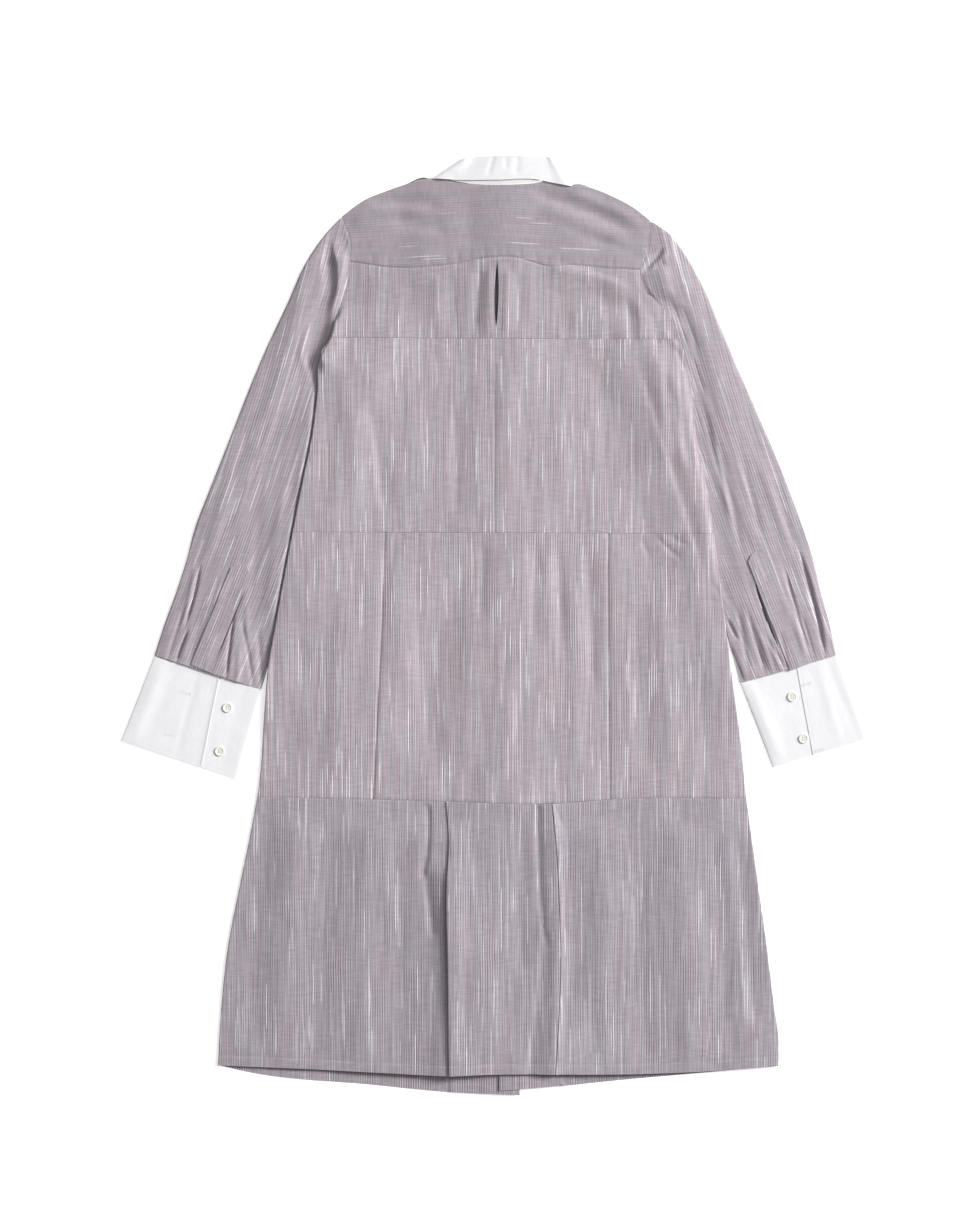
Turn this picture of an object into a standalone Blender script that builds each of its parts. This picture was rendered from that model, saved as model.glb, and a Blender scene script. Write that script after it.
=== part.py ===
# Long-sleeved shirt dress with a pleated flounce, laid flat on its front.
#
# The dress lies face down on the plane z = 0 with its back upwards and its neck
# towards +Y. Left and right are as seen from above, which is also how the wearer
# has them. Every length is in millimetres until a mesh is made. A cloth piece is
# an open sheet through its middle, given its thickness by a Solidify modifier.

from collections import namedtuple

import bmesh
import bpy
import numpy as np

MM = 0.001

# Cloth and the air between its layers
WALL = 1.0
WHITE_WALL = 1.5
BODY_AIR = 2.0
SLEEVE_AIR = 1.4
SEAM = 0.3
CURL_GAP = 0.7
CURL_RADIUS = (WALL + BODY_AIR) / 2
CURL_ANGLES = (0.0, 45.0)
RIGHT_ANGLE = np.pi / 2
EDGE_ROUNDS = 40

# Heights on which the lowest cloth lies
FLOOR_CLOTH = WALL / 2
SLEEVE_TOP = FLOOR_CLOTH + WALL + SLEEVE_AIR
SLEEVE_CROWN = 2.4
SLEEVE_CROWN_AT_CUFF = 0.75
SLEEVE_ROUNDING = 0.6
NEAR_BODY = 15.0
BESIDE_BODY = 3.0
CROWN_RUN = 26.0
SIDE_LIFT = SLEEVE_TOP + WALL / 2 + 0.5
LAP = WALL + 0.5

# Where the body's sides are lifted over the sleeves, and how softly
SIDE_LIFT_TOP_Y = 374.0
SIDE_LIFT_TOP_RUN = 44.0
SIDE_LIFT_END_Y = -150.0
SIDE_LIFT_END_RUN = 94.0
SIDE_LIFT_REACH = 70.0
SIDE_LIFT_RUN = 60.0
UNDERARM_Y = 240.0
UNDERARM_REACH = 12.0

# How far the lap of the fronts and the collar are felt through the layers above
LAP_MIDDLE_X = 25.0
LAP_SPREAD = 60.0
LAP_START_X = 115.0
LAP_RUN = 75.0
CALM_EDGE = 14.0

# Front closing
CLOSING_X = 16.7
OVERLAP = 12.0
BUTTON_WIDTH = 11.0
BUTTON_HEIGHT = 2.2
BUTTON_SIDES = 12
BUTTON_LIFT = BUTTON_HEIGHT + 0.5
BUTTON_SPREAD = 45.0
BUTTON_COUNT = 8
BUTTON_FIRST_Y = 335.0
BUTTON_PITCH = 100.0
COLLAR_BUTTON_Y = 447.0

# Back slit and pleats
SLIT_WIDTH = 5.2
SLIT_TOP_Y = 417.0
SLIT_END_Y = 340.0
PLEAT_UNDERLAY = 25.0
PLEAT_STEP = 1.6
PLEAT_FALL = 45.0
PLEAT_COLUMNS = 8
PLEAT_CLEAR = 2.0
FLOUNCE_ROWS = 7
FLOUNCE_LEVELS = (-520.0, -200.0)

# Sleeve ends
PLACKET_WIDTH = 22.0
PLACKET_LENGTH = 88.0
PLACKET_POINT = 9.0
PLACKET_COLUMNS = 5
PLACKET_ROWS = 6
PLACKET_CENTRE = {"left": 0.415, "right": 0.60}
RING_GAP = 0.5
RING_START = 1.5
OUTER_SHARE = 0.78
SLEEVE_ROWS = 9
SLEEVE_COLUMNS = 7


def table(columns, *rows):
    """Return the rows as tuples with the named columns."""
    row = namedtuple("Row", columns)
    return [row(*values) for values in rows]


# Side edge of the body on each side: armhole, then side seam down to the hem
LEFT_EDGE = table(
    "y x",
    (469, -176), (445, -167), (415, -167), (384, -171), (352, -184), (331, -189),
    (312, -199), (265, -204), (224, -209), (159, -222), (77, -238), (0, -252),
    (-46, -260), (-98, -264.5), (-184, -271), (-236, -279.5), (-305, -293),
    (-374, -306), (-477, -316), (-506, -317.5),
)
RIGHT_EDGE = table(
    "y x",
    (465, 178), (431, 174), (407, 167), (381, 176), (361, 197), (322, 214),
    (282, 224), (216, 231), (171, 240), (113, 250), (36, 260), (-20, 267),
    (-63, 272.5), (-132, 282), (-201, 289), (-270, 298), (-374, 312),
    (-443, 320), (-495, 326), (-507, 325.5),
)

# Seams across the back, top to bottom
YOKE_TOP = table(
    "x y",
    (-176, 469), (-148, 489), (-126, 498), (-106, 505), (-69, 513), (-46, 508.5),
    (3, 505), (46, 507), (68, 510.5), (80.5, 504.5), (91, 506), (114, 501),
    (138, 491), (157, 481), (178, 465),
)
YOKE_SEAM = table(
    "x y",
    (-167, 417.5), (-113, 410.5), (-52, 414), (-6, 422), (23, 422), (40, 417.5),
    (63, 411.5), (86, 413.5), (121, 410.5), (167, 408),
)
BAND_SEAM = table("x y", (-190, 330), (0, 329), (212, 328))
WAIST_SEAM = table("x y", (-235, 107), (0, 106), (252, 105))
FLOUNCE_SEAM = table(
    "x y",
    (-273, -198), (-140, -200), (-55, -202.5), (75, -204.5), (133, -200), (289, -199),
)
BACK_HEM = table(
    "x y",
    (-317, -506), (-224, -509.5), (-132, -514), (-53, -518.5), (-17, -516),
    (67, -515), (75, -517.5), (167, -516), (236, -513), (326, -507),
)
LEFT_FRONT_TOP = table(
    "x y",
    (-176, 469), (-148, 489), (-126, 498), (-106, 505), (-74, 512), (-64, 503),
    (-50, 478), (-28, 449), (0, 434), (30, 431),
)
RIGHT_FRONT_TOP = table(
    "x y",
    (4, 431), (18, 433), (40, 444), (62, 470), (76, 496), (91, 506), (114, 501),
    (138, 491), (157, 481), (178, 465),
)
FRONT_HEM_LEFT = table(
    "x y",
    (-318, -506), (-293, -512), (-138, -529), (-53, -537), (31, -540.5),
)
FRONT_HEM_RIGHT = table(
    "x y",
    (4.5, -535), (75, -530), (167, -521), (236, -515), (326, -507),
)

# Lines down the back
CENTRE_LINE = table("y x", (417, 2.5), (329, 1), (106, 0))
LEFT_SKIRT_SEAM = table("y x", (106, -126.5), (29, -129), (-199, -140))
RIGHT_SKIRT_SEAM = table("y x", (106, 130), (29, 130), (-199, 132))
PLEATS = table(
    "name top_x hem_x",
    ("left", -54, -53),
    ("right", 65.5, 70),
)

# Section of a button, in shares of its radius and height
BUTTON_PROFILE = table(
    "radius height",
    (0.0, 0.72), (0.58, 0.72), (0.78, 1.0), (1.0, 0.5), (0.90, 0.0), (0.0, 0.0),
)

# Largest folds of the back; a fold runs from its first to its second point, and
# the side to the right of a fold that runs downwards is soft times as wide
BACK_FOLDS = table(
    "name x0 y0 x1 y1 bow width soft rise",
    ("left_yoke_hollow", -142, 486, -62, 474, 0, 9, 1.2, -1.0),
    ("left_yoke_dip", -128, 462, -70, 452, 0, 8, 1.2, -0.7),
    ("right_yoke_valley", 32, 502, 158, 450, 4, 9, 1.3, -1.2),
    ("right_yoke_ridge", 60, 470, 150, 428, 0, 14, 1.0, 0.5),
    ("slit_left_trough", -17, 421, -22, 332, 0, 6, 1.4, -0.9),
    ("slit_left_ridge", -6, 420, -8, 332, 0, 6, 1.0, 0.6),
    ("upper_right_ridge", 26, 424, 168, 352, -8, 9, 1.5, 1.2),
    ("upper_right_trough", 92, 398, 126, 322, 0, 10, 1.3, -0.7),
    ("right_armhole_trough", 150, 400, 196, 320, 8, 9, 1.2, -0.9),
    ("left_bodice_valley", -140, 300, -122, 112, -3, 8, 1.8, -1.2),
    ("left_bodice_ridge", -160, 300, -150, 60, 0, 12, 1.0, 0.8),
    ("left_waist_trough", -46, 290, -44, 112, 0, 7, 1.4, -0.8),
    ("right_bodice_trough", 160, 330, 247, 34, 12, 10, 2.0, -1.4),
    ("right_side_ridge", 208, 300, 252, 20, 8, 9, 1.0, 1.2),
    ("right_bodice_ridge", 120, 300, 176, 90, 6, 16, 1.0, 1.0),
    ("skirt_left_trough", -116, 100, -128, -60, 0, 7, 1.6, -0.9),
    ("skirt_centre_trough", -14, 100, -12, 0, 0, 5, 1.4, -0.8),
    ("skirt_fold_one", 46, 100, 43, -30, 0, 5, 1.4, -0.9),
    ("skirt_fold_two", 72, 100, 78, -60, 0, 6, 1.4, -1.0),
    ("skirt_fold_three", 106, 100, 114, -90, 0, 6, 1.4, -1.1),
    ("skirt_ridge", 92, 80, 98, -150, 0, 10, 1.0, 1.0),
    ("skirt_left_ridge", -70, 60, -80, -190, 0, 22, 1.0, 0.9),
    ("skirt_right_ridge", 196, 60, 222, -190, 0, 20, 1.0, 0.8),
    ("waist_crease", 190, 102, 222, 70, 0, 4, 1.3, -0.8),
    ("flounce_small_fold", -79, -206, -75, -350, 0, 5, 1.5, -1.0),
    ("flounce_left_ridge", -200, -230, -216, -510, 0, 24, 1.0, 0.9),
    ("flounce_left_trough", -150, -250, -158, -515, 0, 16, 1.0, -0.8),
    ("flounce_centre_trough", 8, -250, 10, -515, 0, 14, 1.0, -0.8),
    ("flounce_right_ridge", 190, -230, 204, -512, 0, 22, 1.0, 0.9),
    ("flounce_edge_trough", 268, -220, 292, -470, 0, 12, 1.2, -1.0),
)

# Sleeve outlines: outer edge from shoulder to cuff, and the hidden inner edge
LEFT_SLEEVE_OUTER = table(
    "x y",
    (-176, 469), (-190, 454.5), (-215, 420), (-239, 368), (-263.5, 316), (-285, 264.5),
    (-305, 213), (-325.5, 161), (-345.5, 109), (-359, 57.5), (-373, 20), (-391, -34),
)
RIGHT_SLEEVE_OUTER = table(
    "x y",
    (178, 465), (195.5, 454), (210.5, 437), (232, 402.5), (255.5, 351), (277, 299),
    (300, 247), (322, 195.5), (342.5, 144), (361, 92), (374, 40), (387.5, -11.5),
    (392, -34),
)

# Last part of each sleeve's armhole end, which lies under the side of the body
LEFT_UNDERARM = table("x y", (-189, 292), (-178, 270), (-169, 253))
RIGHT_UNDERARM = table("x y", (210, 294), (203, 270), (195.5, 249))
ARMHOLE_END_Y = 308
ROW_STEP = 5
FRONT_ROW_STEP = 25
SHOULDER_Y = 460.0
JOINED_DOWN_TO = 346
UNDER_BODY_FROM = 326
SEAM_FADE_Y = 300.0
SEAM_FADE_RUN = 20.0
CLOSED_FROM_Y = 312.0
CLOSED_RUN = 50.0
SIDE_SEAM_TOP_Y = 305.0
SIDE_SEAM_RUN = 45.0
NECK_HALF_WIDTH = 70.0
NECK_RUN = 12.0

# Sleeve folds, in shares across from the outer edge and along from the armhole
SLEEVE_FOLDS = table(
    "side name across0 along0 across1 along1 width soft rise",
    ("left", "elbow_valley", 0.62, 0.16, 0.66, 0.42, 0.09, 1.4, -0.9),
    ("left", "upper_ridge", 0.34, 0.12, 0.38, 0.62, 0.14, 1.0, 0.7),
    ("left", "outer_tuck", 0.22, 0.80, 0.17, 1.06, 0.035, 1.3, -1.1),
    ("left", "placket_tuck", 0.72, 0.86, 0.62, 1.06, 0.035, 1.3, -1.1),
    ("left", "inner_tuck", 0.86, 0.88, 0.86, 1.06, 0.035, 1.3, -0.9),
    ("right", "shoulder_pinch", 0.50, 0.10, 0.72, 0.30, 0.08, 1.4, -0.9),
    ("right", "upper_ridge", 0.36, 0.16, 0.42, 0.60, 0.14, 1.0, 0.7),
    ("right", "outer_tuck", 0.16, 0.76, 0.13, 1.06, 0.035, 1.3, -1.0),
    ("right", "middle_tuck", 0.38, 0.74, 0.28, 1.06, 0.04, 1.3, -1.1),
    ("right", "inner_tuck", 0.86, 0.86, 0.80, 1.06, 0.035, 1.3, -1.0),
)

# Corners of the cuffs, flap edge as a share across from the outer fold
CUFFS = table(
    "side outer_top inner_top inner_end outer_end flap_top flap_end tail",
    ("left", (-391, -35), (-269, -74), (-298, -176), (-429, -132), 0.61, 0.70, 0.33),
    ("right", (392, -35), (282, -67), (319.5, -163.5), (426.5, -131), 0.41, 0.57, 0.22),
)
CUFF_TURN_GAP = 0.7
CUFF_LAP_GAP = 0.35
CUFF_TURNS = (36, 72, 108, 144, 180)
CUFF_COLUMNS = 5
CUFF_ROWS = 4
CUFF_BUTTONS = table(
    "side name x y",
    ("left", "upper", -307.5, -95), ("left", "lower", -316.5, -145),
    ("right", "upper", 341.5, -82.5), ("right", "lower", 354.5, -130.5),
)

# Collar: a station round the neck in each row, on the front layer (-1), at a side
# fold (0) or on the back layer (1)
STAND = table(
    "layer neck_x neck_y fold_x fold_y",
    (-1, 29, 435, 29, 463), (-1, 0, 438, 4, 464), (-1, -26, 452, -20, 480),
    (-1, -46, 482, -32, 508), (0, -68, 515, -38, 533), (1, -46, 509.5, -22, 535.5),
    (1, 3, 506, 12, 536.5), (1, 46, 509, 46, 536), (0, 72, 513.5, 66, 535),
    (-1, 59, 475, 54, 502), (-1, 37, 449, 36, 476), (-1, 18, 437, 18, 464),
    (-1, 5, 436, 5, 463),
)
FALL = table(
    "layer fold_x fold_y edge_x edge_y",
    (-1, 8, 465, -38, 403), (-1, -22, 480, -57, 432), (-1, -32, 509, -66, 470),
    (0, -40, 534.5, -72, 517), (1, -22, 537, -44, 512), (1, 12, 538, 3, 511),
    (1, 46, 537.5, 50, 511.5), (0, 68, 536.5, 89, 509.5), (-1, 54, 503, 82, 468),
    (-1, 36, 477, 80, 430), (-1, 24, 465, 71, 403),
)
FALL_OFFSET = 1.45
COLLAR_LIFT = 1.3
COLLAR_CENTRE_X = 8.0
COLLAR_HALF_WIDTH = 118.0
COLLAR_RUN = 34.0
COLLAR_END_Y = 370.0
COLLAR_END_RUN = 30.0
NECK_LEVEL_Y = 500.0
COLLAR_TURNS = (-67.5, -22.5, 22.5, 67.5)
STAND_LAP = WALL + 0.4
STAND_LAP_START = 0.8

FABRIC = (170, 160, 166)
WHITE = (242, 242, 243)
CREAM = (232, 228, 216)


def mix(a, b, share):
    """Return the value that lies share of the way from a to b."""
    return a + (b - a) * share


def ease(share):
    """Return a smooth step from 0 to 1."""
    share = np.clip(share, 0.0, 1.0)
    return share * share * (3 - 2 * share)


def smooth_line(rows, along, value):
    """Return a smooth function through a table's rows, straight past its ends."""
    knots = sorted((getattr(row, along), getattr(row, value)) for row in rows)
    place, level = np.array(knots, dtype=float).T
    step = np.diff(place)
    grade = np.diff(level) / step
    inner = (grade[:-1] * step[1:] + grade[1:] * step[:-1]) / (step[:-1] + step[1:])
    slope = np.concatenate([grade[:1], inner, grade[-1:]])

    def at(query):
        query = np.asarray(query, dtype=float)
        i = np.clip(np.searchsorted(place, query) - 1, 0, len(place) - 2)
        held = np.clip(query, place[0], place[-1])
        t = (held - place[i]) / step[i]
        t2 = t * t
        t3 = t2 * t
        curve = (2 * t3 - 3 * t2 + 1) * level[i] + (3 * t2 - 2 * t3) * level[i + 1]
        curve = curve + ((t3 - 2 * t2 + t) * slope[i] + (t3 - t2) * slope[i + 1]) * step[i]
        return curve + (query - held) * np.where(query < place[0], slope[0], slope[-1])

    return at


def route(points, place):
    """Return a smooth function through points that have a place along the way."""
    Knot = namedtuple("Knot", "place value")
    lines = [
        smooth_line([Knot(*knot) for knot in zip(place, column)], "place", "value")
        for column in np.array(points, dtype=float).T
    ]

    def at(share):
        return np.stack([line(share) for line in lines], axis=-1)

    return at


left_edge = smooth_line(LEFT_EDGE, "y", "x")
right_edge = smooth_line(RIGHT_EDGE, "y", "x")
yoke_top = smooth_line(YOKE_TOP, "x", "y")
yoke_seam = smooth_line(YOKE_SEAM, "x", "y")
band_seam = smooth_line(BAND_SEAM, "x", "y")
waist_seam = smooth_line(WAIST_SEAM, "x", "y")
flounce_seam = smooth_line(FLOUNCE_SEAM, "x", "y")
back_hem = smooth_line(BACK_HEM, "x", "y")
left_front_top = smooth_line(LEFT_FRONT_TOP, "x", "y")
right_front_top = smooth_line(RIGHT_FRONT_TOP, "x", "y")
left_front_hem = smooth_line(FRONT_HEM_LEFT, "x", "y")
right_front_hem = smooth_line(FRONT_HEM_RIGHT, "x", "y")
centre_line = smooth_line(CENTRE_LINE, "y", "x")
left_skirt_seam = smooth_line(LEFT_SKIRT_SEAM, "y", "x")
right_skirt_seam = smooth_line(RIGHT_SKIRT_SEAM, "y", "x")


def slit_half(y):
    """Return half the width of the keyhole slit at a height."""
    share = np.clip((y - SLIT_END_Y) / (SLIT_TOP_Y - SLIT_END_Y), 0, 1)
    return SLIT_WIDTH / 2 * np.sin(np.pi * share)


def slit_left(y):
    """Return where the slit's left edge lies at a height."""
    return centre_line(y) - slit_half(y)


def slit_right(y):
    """Return where the slit's right edge lies at a height."""
    return centre_line(y) + slit_half(y)


def left_front_edge(y):
    """Return the free edge of the left front, which laps over the right one."""
    return CLOSING_X + OVERLAP + 0 * y


def right_front_edge(y):
    """Return the free edge of the right front."""
    return CLOSING_X - OVERLAP + 0 * y


def fold_height(folds, x, y, fade=0.22):
    """Return how far a table's folds raise the cloth at a point."""
    total = 0.0 * x
    for fold in folds:
        run_x = fold.x1 - fold.x0
        run_y = fold.y1 - fold.y0
        length = np.hypot(run_x, run_y)
        along = ((x - fold.x0) * run_x + (y - fold.y0) * run_y) / length**2
        side = ((y - fold.y0) * run_x - (x - fold.x0) * run_y) / length
        held = np.clip(along, 0, 1)
        side = side - fold.bow * 4 * held * (1 - held)
        width = np.where(side < 0, fold.width, fold.width * fold.soft)
        ends = ease(along / fade) * ease((1 - along) / fade)
        total = total + fold.rise * np.exp(-((side / width) ** 2)) * ends
    return total


def sleeve_inner_line(side, y):
    """Return where the sleeve's inner edge runs under the body at a height."""
    if side == "left":
        top = LEFT_UNDERARM[-1]
        end = CUFFS[0].inner_top
    else:
        top = RIGHT_UNDERARM[-1]
        end = CUFFS[1].inner_top
    share = (y - top.y) / (end[1] - top.y)
    return mix(top.x, end[0], share)


def side_lift(x, y):
    """Return the lift of the body's sides over the sleeves that lie under them."""
    from_top = ease((SIDE_LIFT_TOP_Y - y) / SIDE_LIFT_TOP_RUN)
    from_end = ease((y - SIDE_LIFT_END_Y) / SIDE_LIFT_END_RUN)
    reach = SIDE_LIFT_REACH + UNDERARM_REACH * ease((y - UNDERARM_Y) / SIDE_LIFT_RUN)
    from_left = ease((sleeve_inner_line("left", y) + reach - x) / SIDE_LIFT_RUN)
    from_right = ease((x - sleeve_inner_line("right", y) + reach) / SIDE_LIFT_RUN)
    return SIDE_LIFT * from_top * from_end * np.maximum(from_left, from_right)


def closing_lift(x):
    """Return the lift of the left front over its buttons."""
    return BUTTON_LIFT * np.exp(-(((x - CLOSING_X) / BUTTON_SPREAD) ** 2))


def collar_lift(x, y):
    """Return the lift of the front over the collar's fall, which lies on the floor."""
    across = ease((COLLAR_HALF_WIDTH - np.abs(x - COLLAR_CENTRE_X)) / COLLAR_RUN)
    down = ease((y - COLLAR_END_Y) / COLLAR_END_RUN)
    return COLLAR_LIFT * across * down


def front_lift(x, y):
    """Return the smooth union of all that lifts the front off the floor."""
    lifts = (side_lift(x, y), closing_lift(x), collar_lift(x, y))
    return sum(lift**4 for lift in lifts) ** 0.25


def left_front_height(x, y):
    """Return the height of the left front, which lies on the floor."""
    return FLOOR_CLOTH + front_lift(x, y)


def right_front_height(x, y):
    """Return the height of the right front, which rises onto the left one."""
    over_left = LAP * ease((LAP_START_X - x) / LAP_RUN)
    return FLOOR_CLOTH + front_lift(x, y) + over_left


def back_base(x, y):
    """Return the height of the back without its folds."""
    over_fronts = LAP * np.exp(-(((x - LAP_MIDDLE_X) / LAP_SPREAD) ** 2))
    return FLOOR_CLOTH + front_lift(x, y) + over_fronts + WALL + BODY_AIR


def edge_distance(x, y):
    """Return the distance of a point inside the body from its side edge."""
    return np.minimum(x - left_edge(y), right_edge(y) - x)


def back_height(x, y):
    """Return the height of the back with its folds, which end before its sides."""
    calm = ease(edge_distance(x, y) / CALM_EDGE)
    return back_base(x, y) + fold_height(BACK_FOLDS, x, y) * calm


def front_height(x, y):
    """Return the height of the front that reaches the side a point is on."""
    return np.where(x < CLOSING_X, left_front_height(x, y), right_front_height(x, y))


def side_seam_height(x, y):
    """Return the height at which front and back meet."""
    return (front_height(x, y) + back_base(x, y)) / 2


def side_curl(y):
    """Return 1 where front and back meet in a side seam, 0 along the armhole."""
    return ease((SIDE_SEAM_TOP_Y - y) / SIDE_SEAM_RUN)


def shoulder_curl(x):
    """Return 1 where yoke and front meet at the shoulder, 0 along the neck."""
    return ease((np.abs(x - COLLAR_CENTRE_X) - NECK_HALF_WIDTH) / NECK_RUN)


def even(count):
    """Return evenly spaced shares from 0 to 1."""
    return np.linspace(0, 1, count + 1)


def close_at_ends(count):
    """Return shares from 0 to 1 that lie closer together at both ends."""
    return (1 - np.cos(np.pi * even(count))) / 2


def lines(share, curled_start, curled_end):
    """Return a panel's lines: share across it, and curl angles at either end."""
    start = np.full(len(share), RIGHT_ANGLE)
    end = np.full(len(share), RIGHT_ANGLE)
    angles = np.radians(CURL_ANGLES)
    flat = np.full(len(angles), RIGHT_ANGLE)
    if curled_start:
        share = np.concatenate([0 * angles, share])
        start = np.concatenate([angles, start])
        end = np.concatenate([flat, end])
    if curled_end:
        share = np.concatenate([share, 1 + 0 * angles])
        start = np.concatenate([start, flat])
        end = np.concatenate([end, angles[::-1]])
    return share, start, end


def panel_points(left, right, bottom, top, across, along, height, seam_side, curls=()):
    """Return the grid of a panel between four edges.

    Left and right give x at a height, bottom and top give y at an x. At a curled
    edge the cloth turns to meet its neighbour of the other layer; seam_side is 1
    for a back panel and -1 for a front one.
    """
    u, u_start, u_end = lines(across, "left" in curls, "right" in curls)
    v, _, v_end = lines(along, False, "top" in curls)
    u, v = np.meshgrid(u, v)
    u_start, v_end = np.meshgrid(u_start, v_end)
    u_end = np.broadcast_to(u_end, u.shape)
    inset = SEAM / 2
    from_left = CURL_RADIUS if "left" in curls else inset
    from_right = CURL_RADIUS if "right" in curls else inset
    from_top = CURL_RADIUS if "top" in curls else inset
    y = mix(bottom(0.0), top(0.0), v)
    x = mix(left(y), right(y), u)
    for _ in range(EDGE_ROUNDS):
        y = mix(bottom(x) + inset, top(x) - from_top, v) + from_top * np.cos(v_end)
        x = mix(left(y) + from_left, right(y) - from_right, u)
        x = x - from_left * np.cos(u_start) + from_right * np.cos(u_end)
    flat = height(x, y)
    meeting = side_seam_height(x, y) + seam_side * CURL_GAP / 2
    turned = side_curl(y) * (2 - np.sin(u_start) - np.sin(u_end))
    turned = np.maximum(turned, shoulder_curl(x) * (1 - np.sin(v_end)))
    z = mix(flat, meeting, turned)
    return np.stack([x, y, z], axis=-1)


def linear(value):
    """Return the linear value of an 8-bit screen value."""
    share = value / 255
    if share <= 0.04045:
        return share / 12.92
    return ((share + 0.055) / 1.055) ** 2.4


def finish(name, colour, roughness):
    """Return a plain finish of one colour for a piece."""
    material = bpy.data.materials.new(name + "_finish")
    material.use_nodes = True
    shader = material.node_tree.nodes["Principled BSDF"]
    shader.inputs["Base Color"].default_value = (*[linear(c) for c in colour], 1.0)
    shader.inputs["Roughness"].default_value = roughness
    shader.inputs["Metallic"].default_value = 0.0
    return material


def grid_mesh(name, points):
    """Return a mesh grid moved to points."""
    rows, columns = points.shape[:2]
    mesh = bpy.data.meshes.new(name)
    work = bmesh.new()
    bmesh.ops.create_grid(work, x_segments=columns - 1, y_segments=rows - 1, size=1.0)
    for vertex in work.verts:
        i = round((vertex.co.x + 1) / 2 * (columns - 1))
        j = round((vertex.co.y + 1) / 2 * (rows - 1))
        vertex.co = points[j, i] * MM
    bmesh.ops.recalc_face_normals(work, faces=work.faces)
    work.to_mesh(mesh)
    work.free()
    mesh.shade_smooth()
    return mesh


def cloth(name, points, colour=FABRIC, wall=WALL):
    """Make a cloth piece from the grid through the middle of its wall."""
    mesh = grid_mesh(name, points)
    piece = bpy.data.objects.new(name, mesh)
    dress.objects.link(piece)
    thickness = piece.modifiers.new("wall", "SOLIDIFY")
    thickness.thickness = wall * MM
    thickness.offset = 0.0
    mesh.materials.append(finish(name, colour, 0.85))


# Panels of the back: edges, lines across and along, and the edges that curl
BACK_PANELS = table(
    "name left right bottom top across along curls",
    ("yoke", left_edge, right_edge, yoke_seam, yoke_top, 26, 4, ("top",)),
    ("back_upper_left", left_edge, slit_left, band_seam, yoke_seam, 11, 5, ()),
    ("back_upper_right", slit_right, right_edge, band_seam, yoke_seam, 12, 5, ()),
    ("back_bodice_left", left_edge, centre_line, waist_seam, band_seam, 12, 12, ("left",)),
    ("back_bodice_right", centre_line, right_edge, waist_seam, band_seam, 14, 12,
     ("right",)),
    ("skirt_back_left", left_edge, left_skirt_seam, flounce_seam, waist_seam, 7, 11,
     ("left",)),
    ("skirt_back_centre", left_skirt_seam, right_skirt_seam, flounce_seam, waist_seam,
     16, 10, ()),
    ("skirt_back_right", right_skirt_seam, right_edge, flounce_seam, waist_seam, 7, 11,
     ("right",)),
)


def yoke_columns():
    """Return the shares across the yoke that meet the upper backs' columns."""
    left, right = (back_points(panel)[-1, :, 0] for panel in BACK_PANELS[1:3])
    x = np.concatenate([left[:-1], [(left[-1] + right[0]) / 2], right[1:]])
    return (x - x[0]) / (x[-1] - x[0])


def back_points(panel):
    """Return the grid of one panel of the back."""
    across = yoke_columns() if panel.name == "yoke" else even(panel.across)
    return panel_points(
        panel.left, panel.right, panel.bottom, panel.top, across, even(panel.along),
        back_height, 1, panel.curls)


def edge_levels(side):
    """Return the heights of the back's lines at one side, from the shoulder down."""
    column = 0 if side == "left" else -1
    levels = []
    for panel in BACK_PANELS:
        if panel.name == "yoke" or panel.name.endswith(side):
            for y in back_points(panel)[::-1, column, 1]:
                if not levels or levels[-1] - y > ROW_STEP:
                    levels.append(float(y))
    return levels


def armhole_levels(side):
    """Return the heights of the back's lines along one armhole."""
    return [y for y in edge_levels(side) if y > ARMHOLE_END_Y]


def make_back():
    """Make the yoke, upper back, bodice and skirt panels."""
    for panel in BACK_PANELS:
        cloth(panel.name, back_points(panel))


def front_rows(side, edge, top):
    """Return the shares up a front that meet the back's lines at its side edge."""
    shares = [1.0]
    last = top(edge(SHOULDER_Y))
    for y in edge_levels(side)[1:-1]:
        x = edge(y)
        start = flounce_seam(x) + SEAM / 2
        end = top(x) - CURL_RADIUS
        step = ROW_STEP if y > ARMHOLE_END_Y else FRONT_ROW_STEP
        if last - y > step and y - start > step:
            shares.append(float((y - start) / (end - start)))
            last = y
    shares.append(0.0)
    return np.array(shares[::-1])


def make_fronts():
    """Make the two fronts, left over right, and their parts of the flounce."""
    cloth("front_left", panel_points(
        left_edge, left_front_edge, flounce_seam, left_front_top, close_at_ends(10),
        front_rows("left", left_edge, left_front_top), left_front_height, -1,
        ("left", "top")))
    cloth("front_right", panel_points(
        right_front_edge, right_edge, flounce_seam, right_front_top, close_at_ends(10),
        front_rows("right", right_edge, right_front_top), right_front_height, -1,
        ("right", "top")))
    cloth("front_flounce_left", panel_points(
        left_edge, left_front_edge, left_front_hem, flounce_seam, close_at_ends(10),
        even(5), left_front_height, -1, ("left",)))
    cloth("front_flounce_right", panel_points(
        right_front_edge, right_edge, right_front_hem, flounce_seam, close_at_ends(10),
        even(5), right_front_height, -1, ("right",)))


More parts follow.
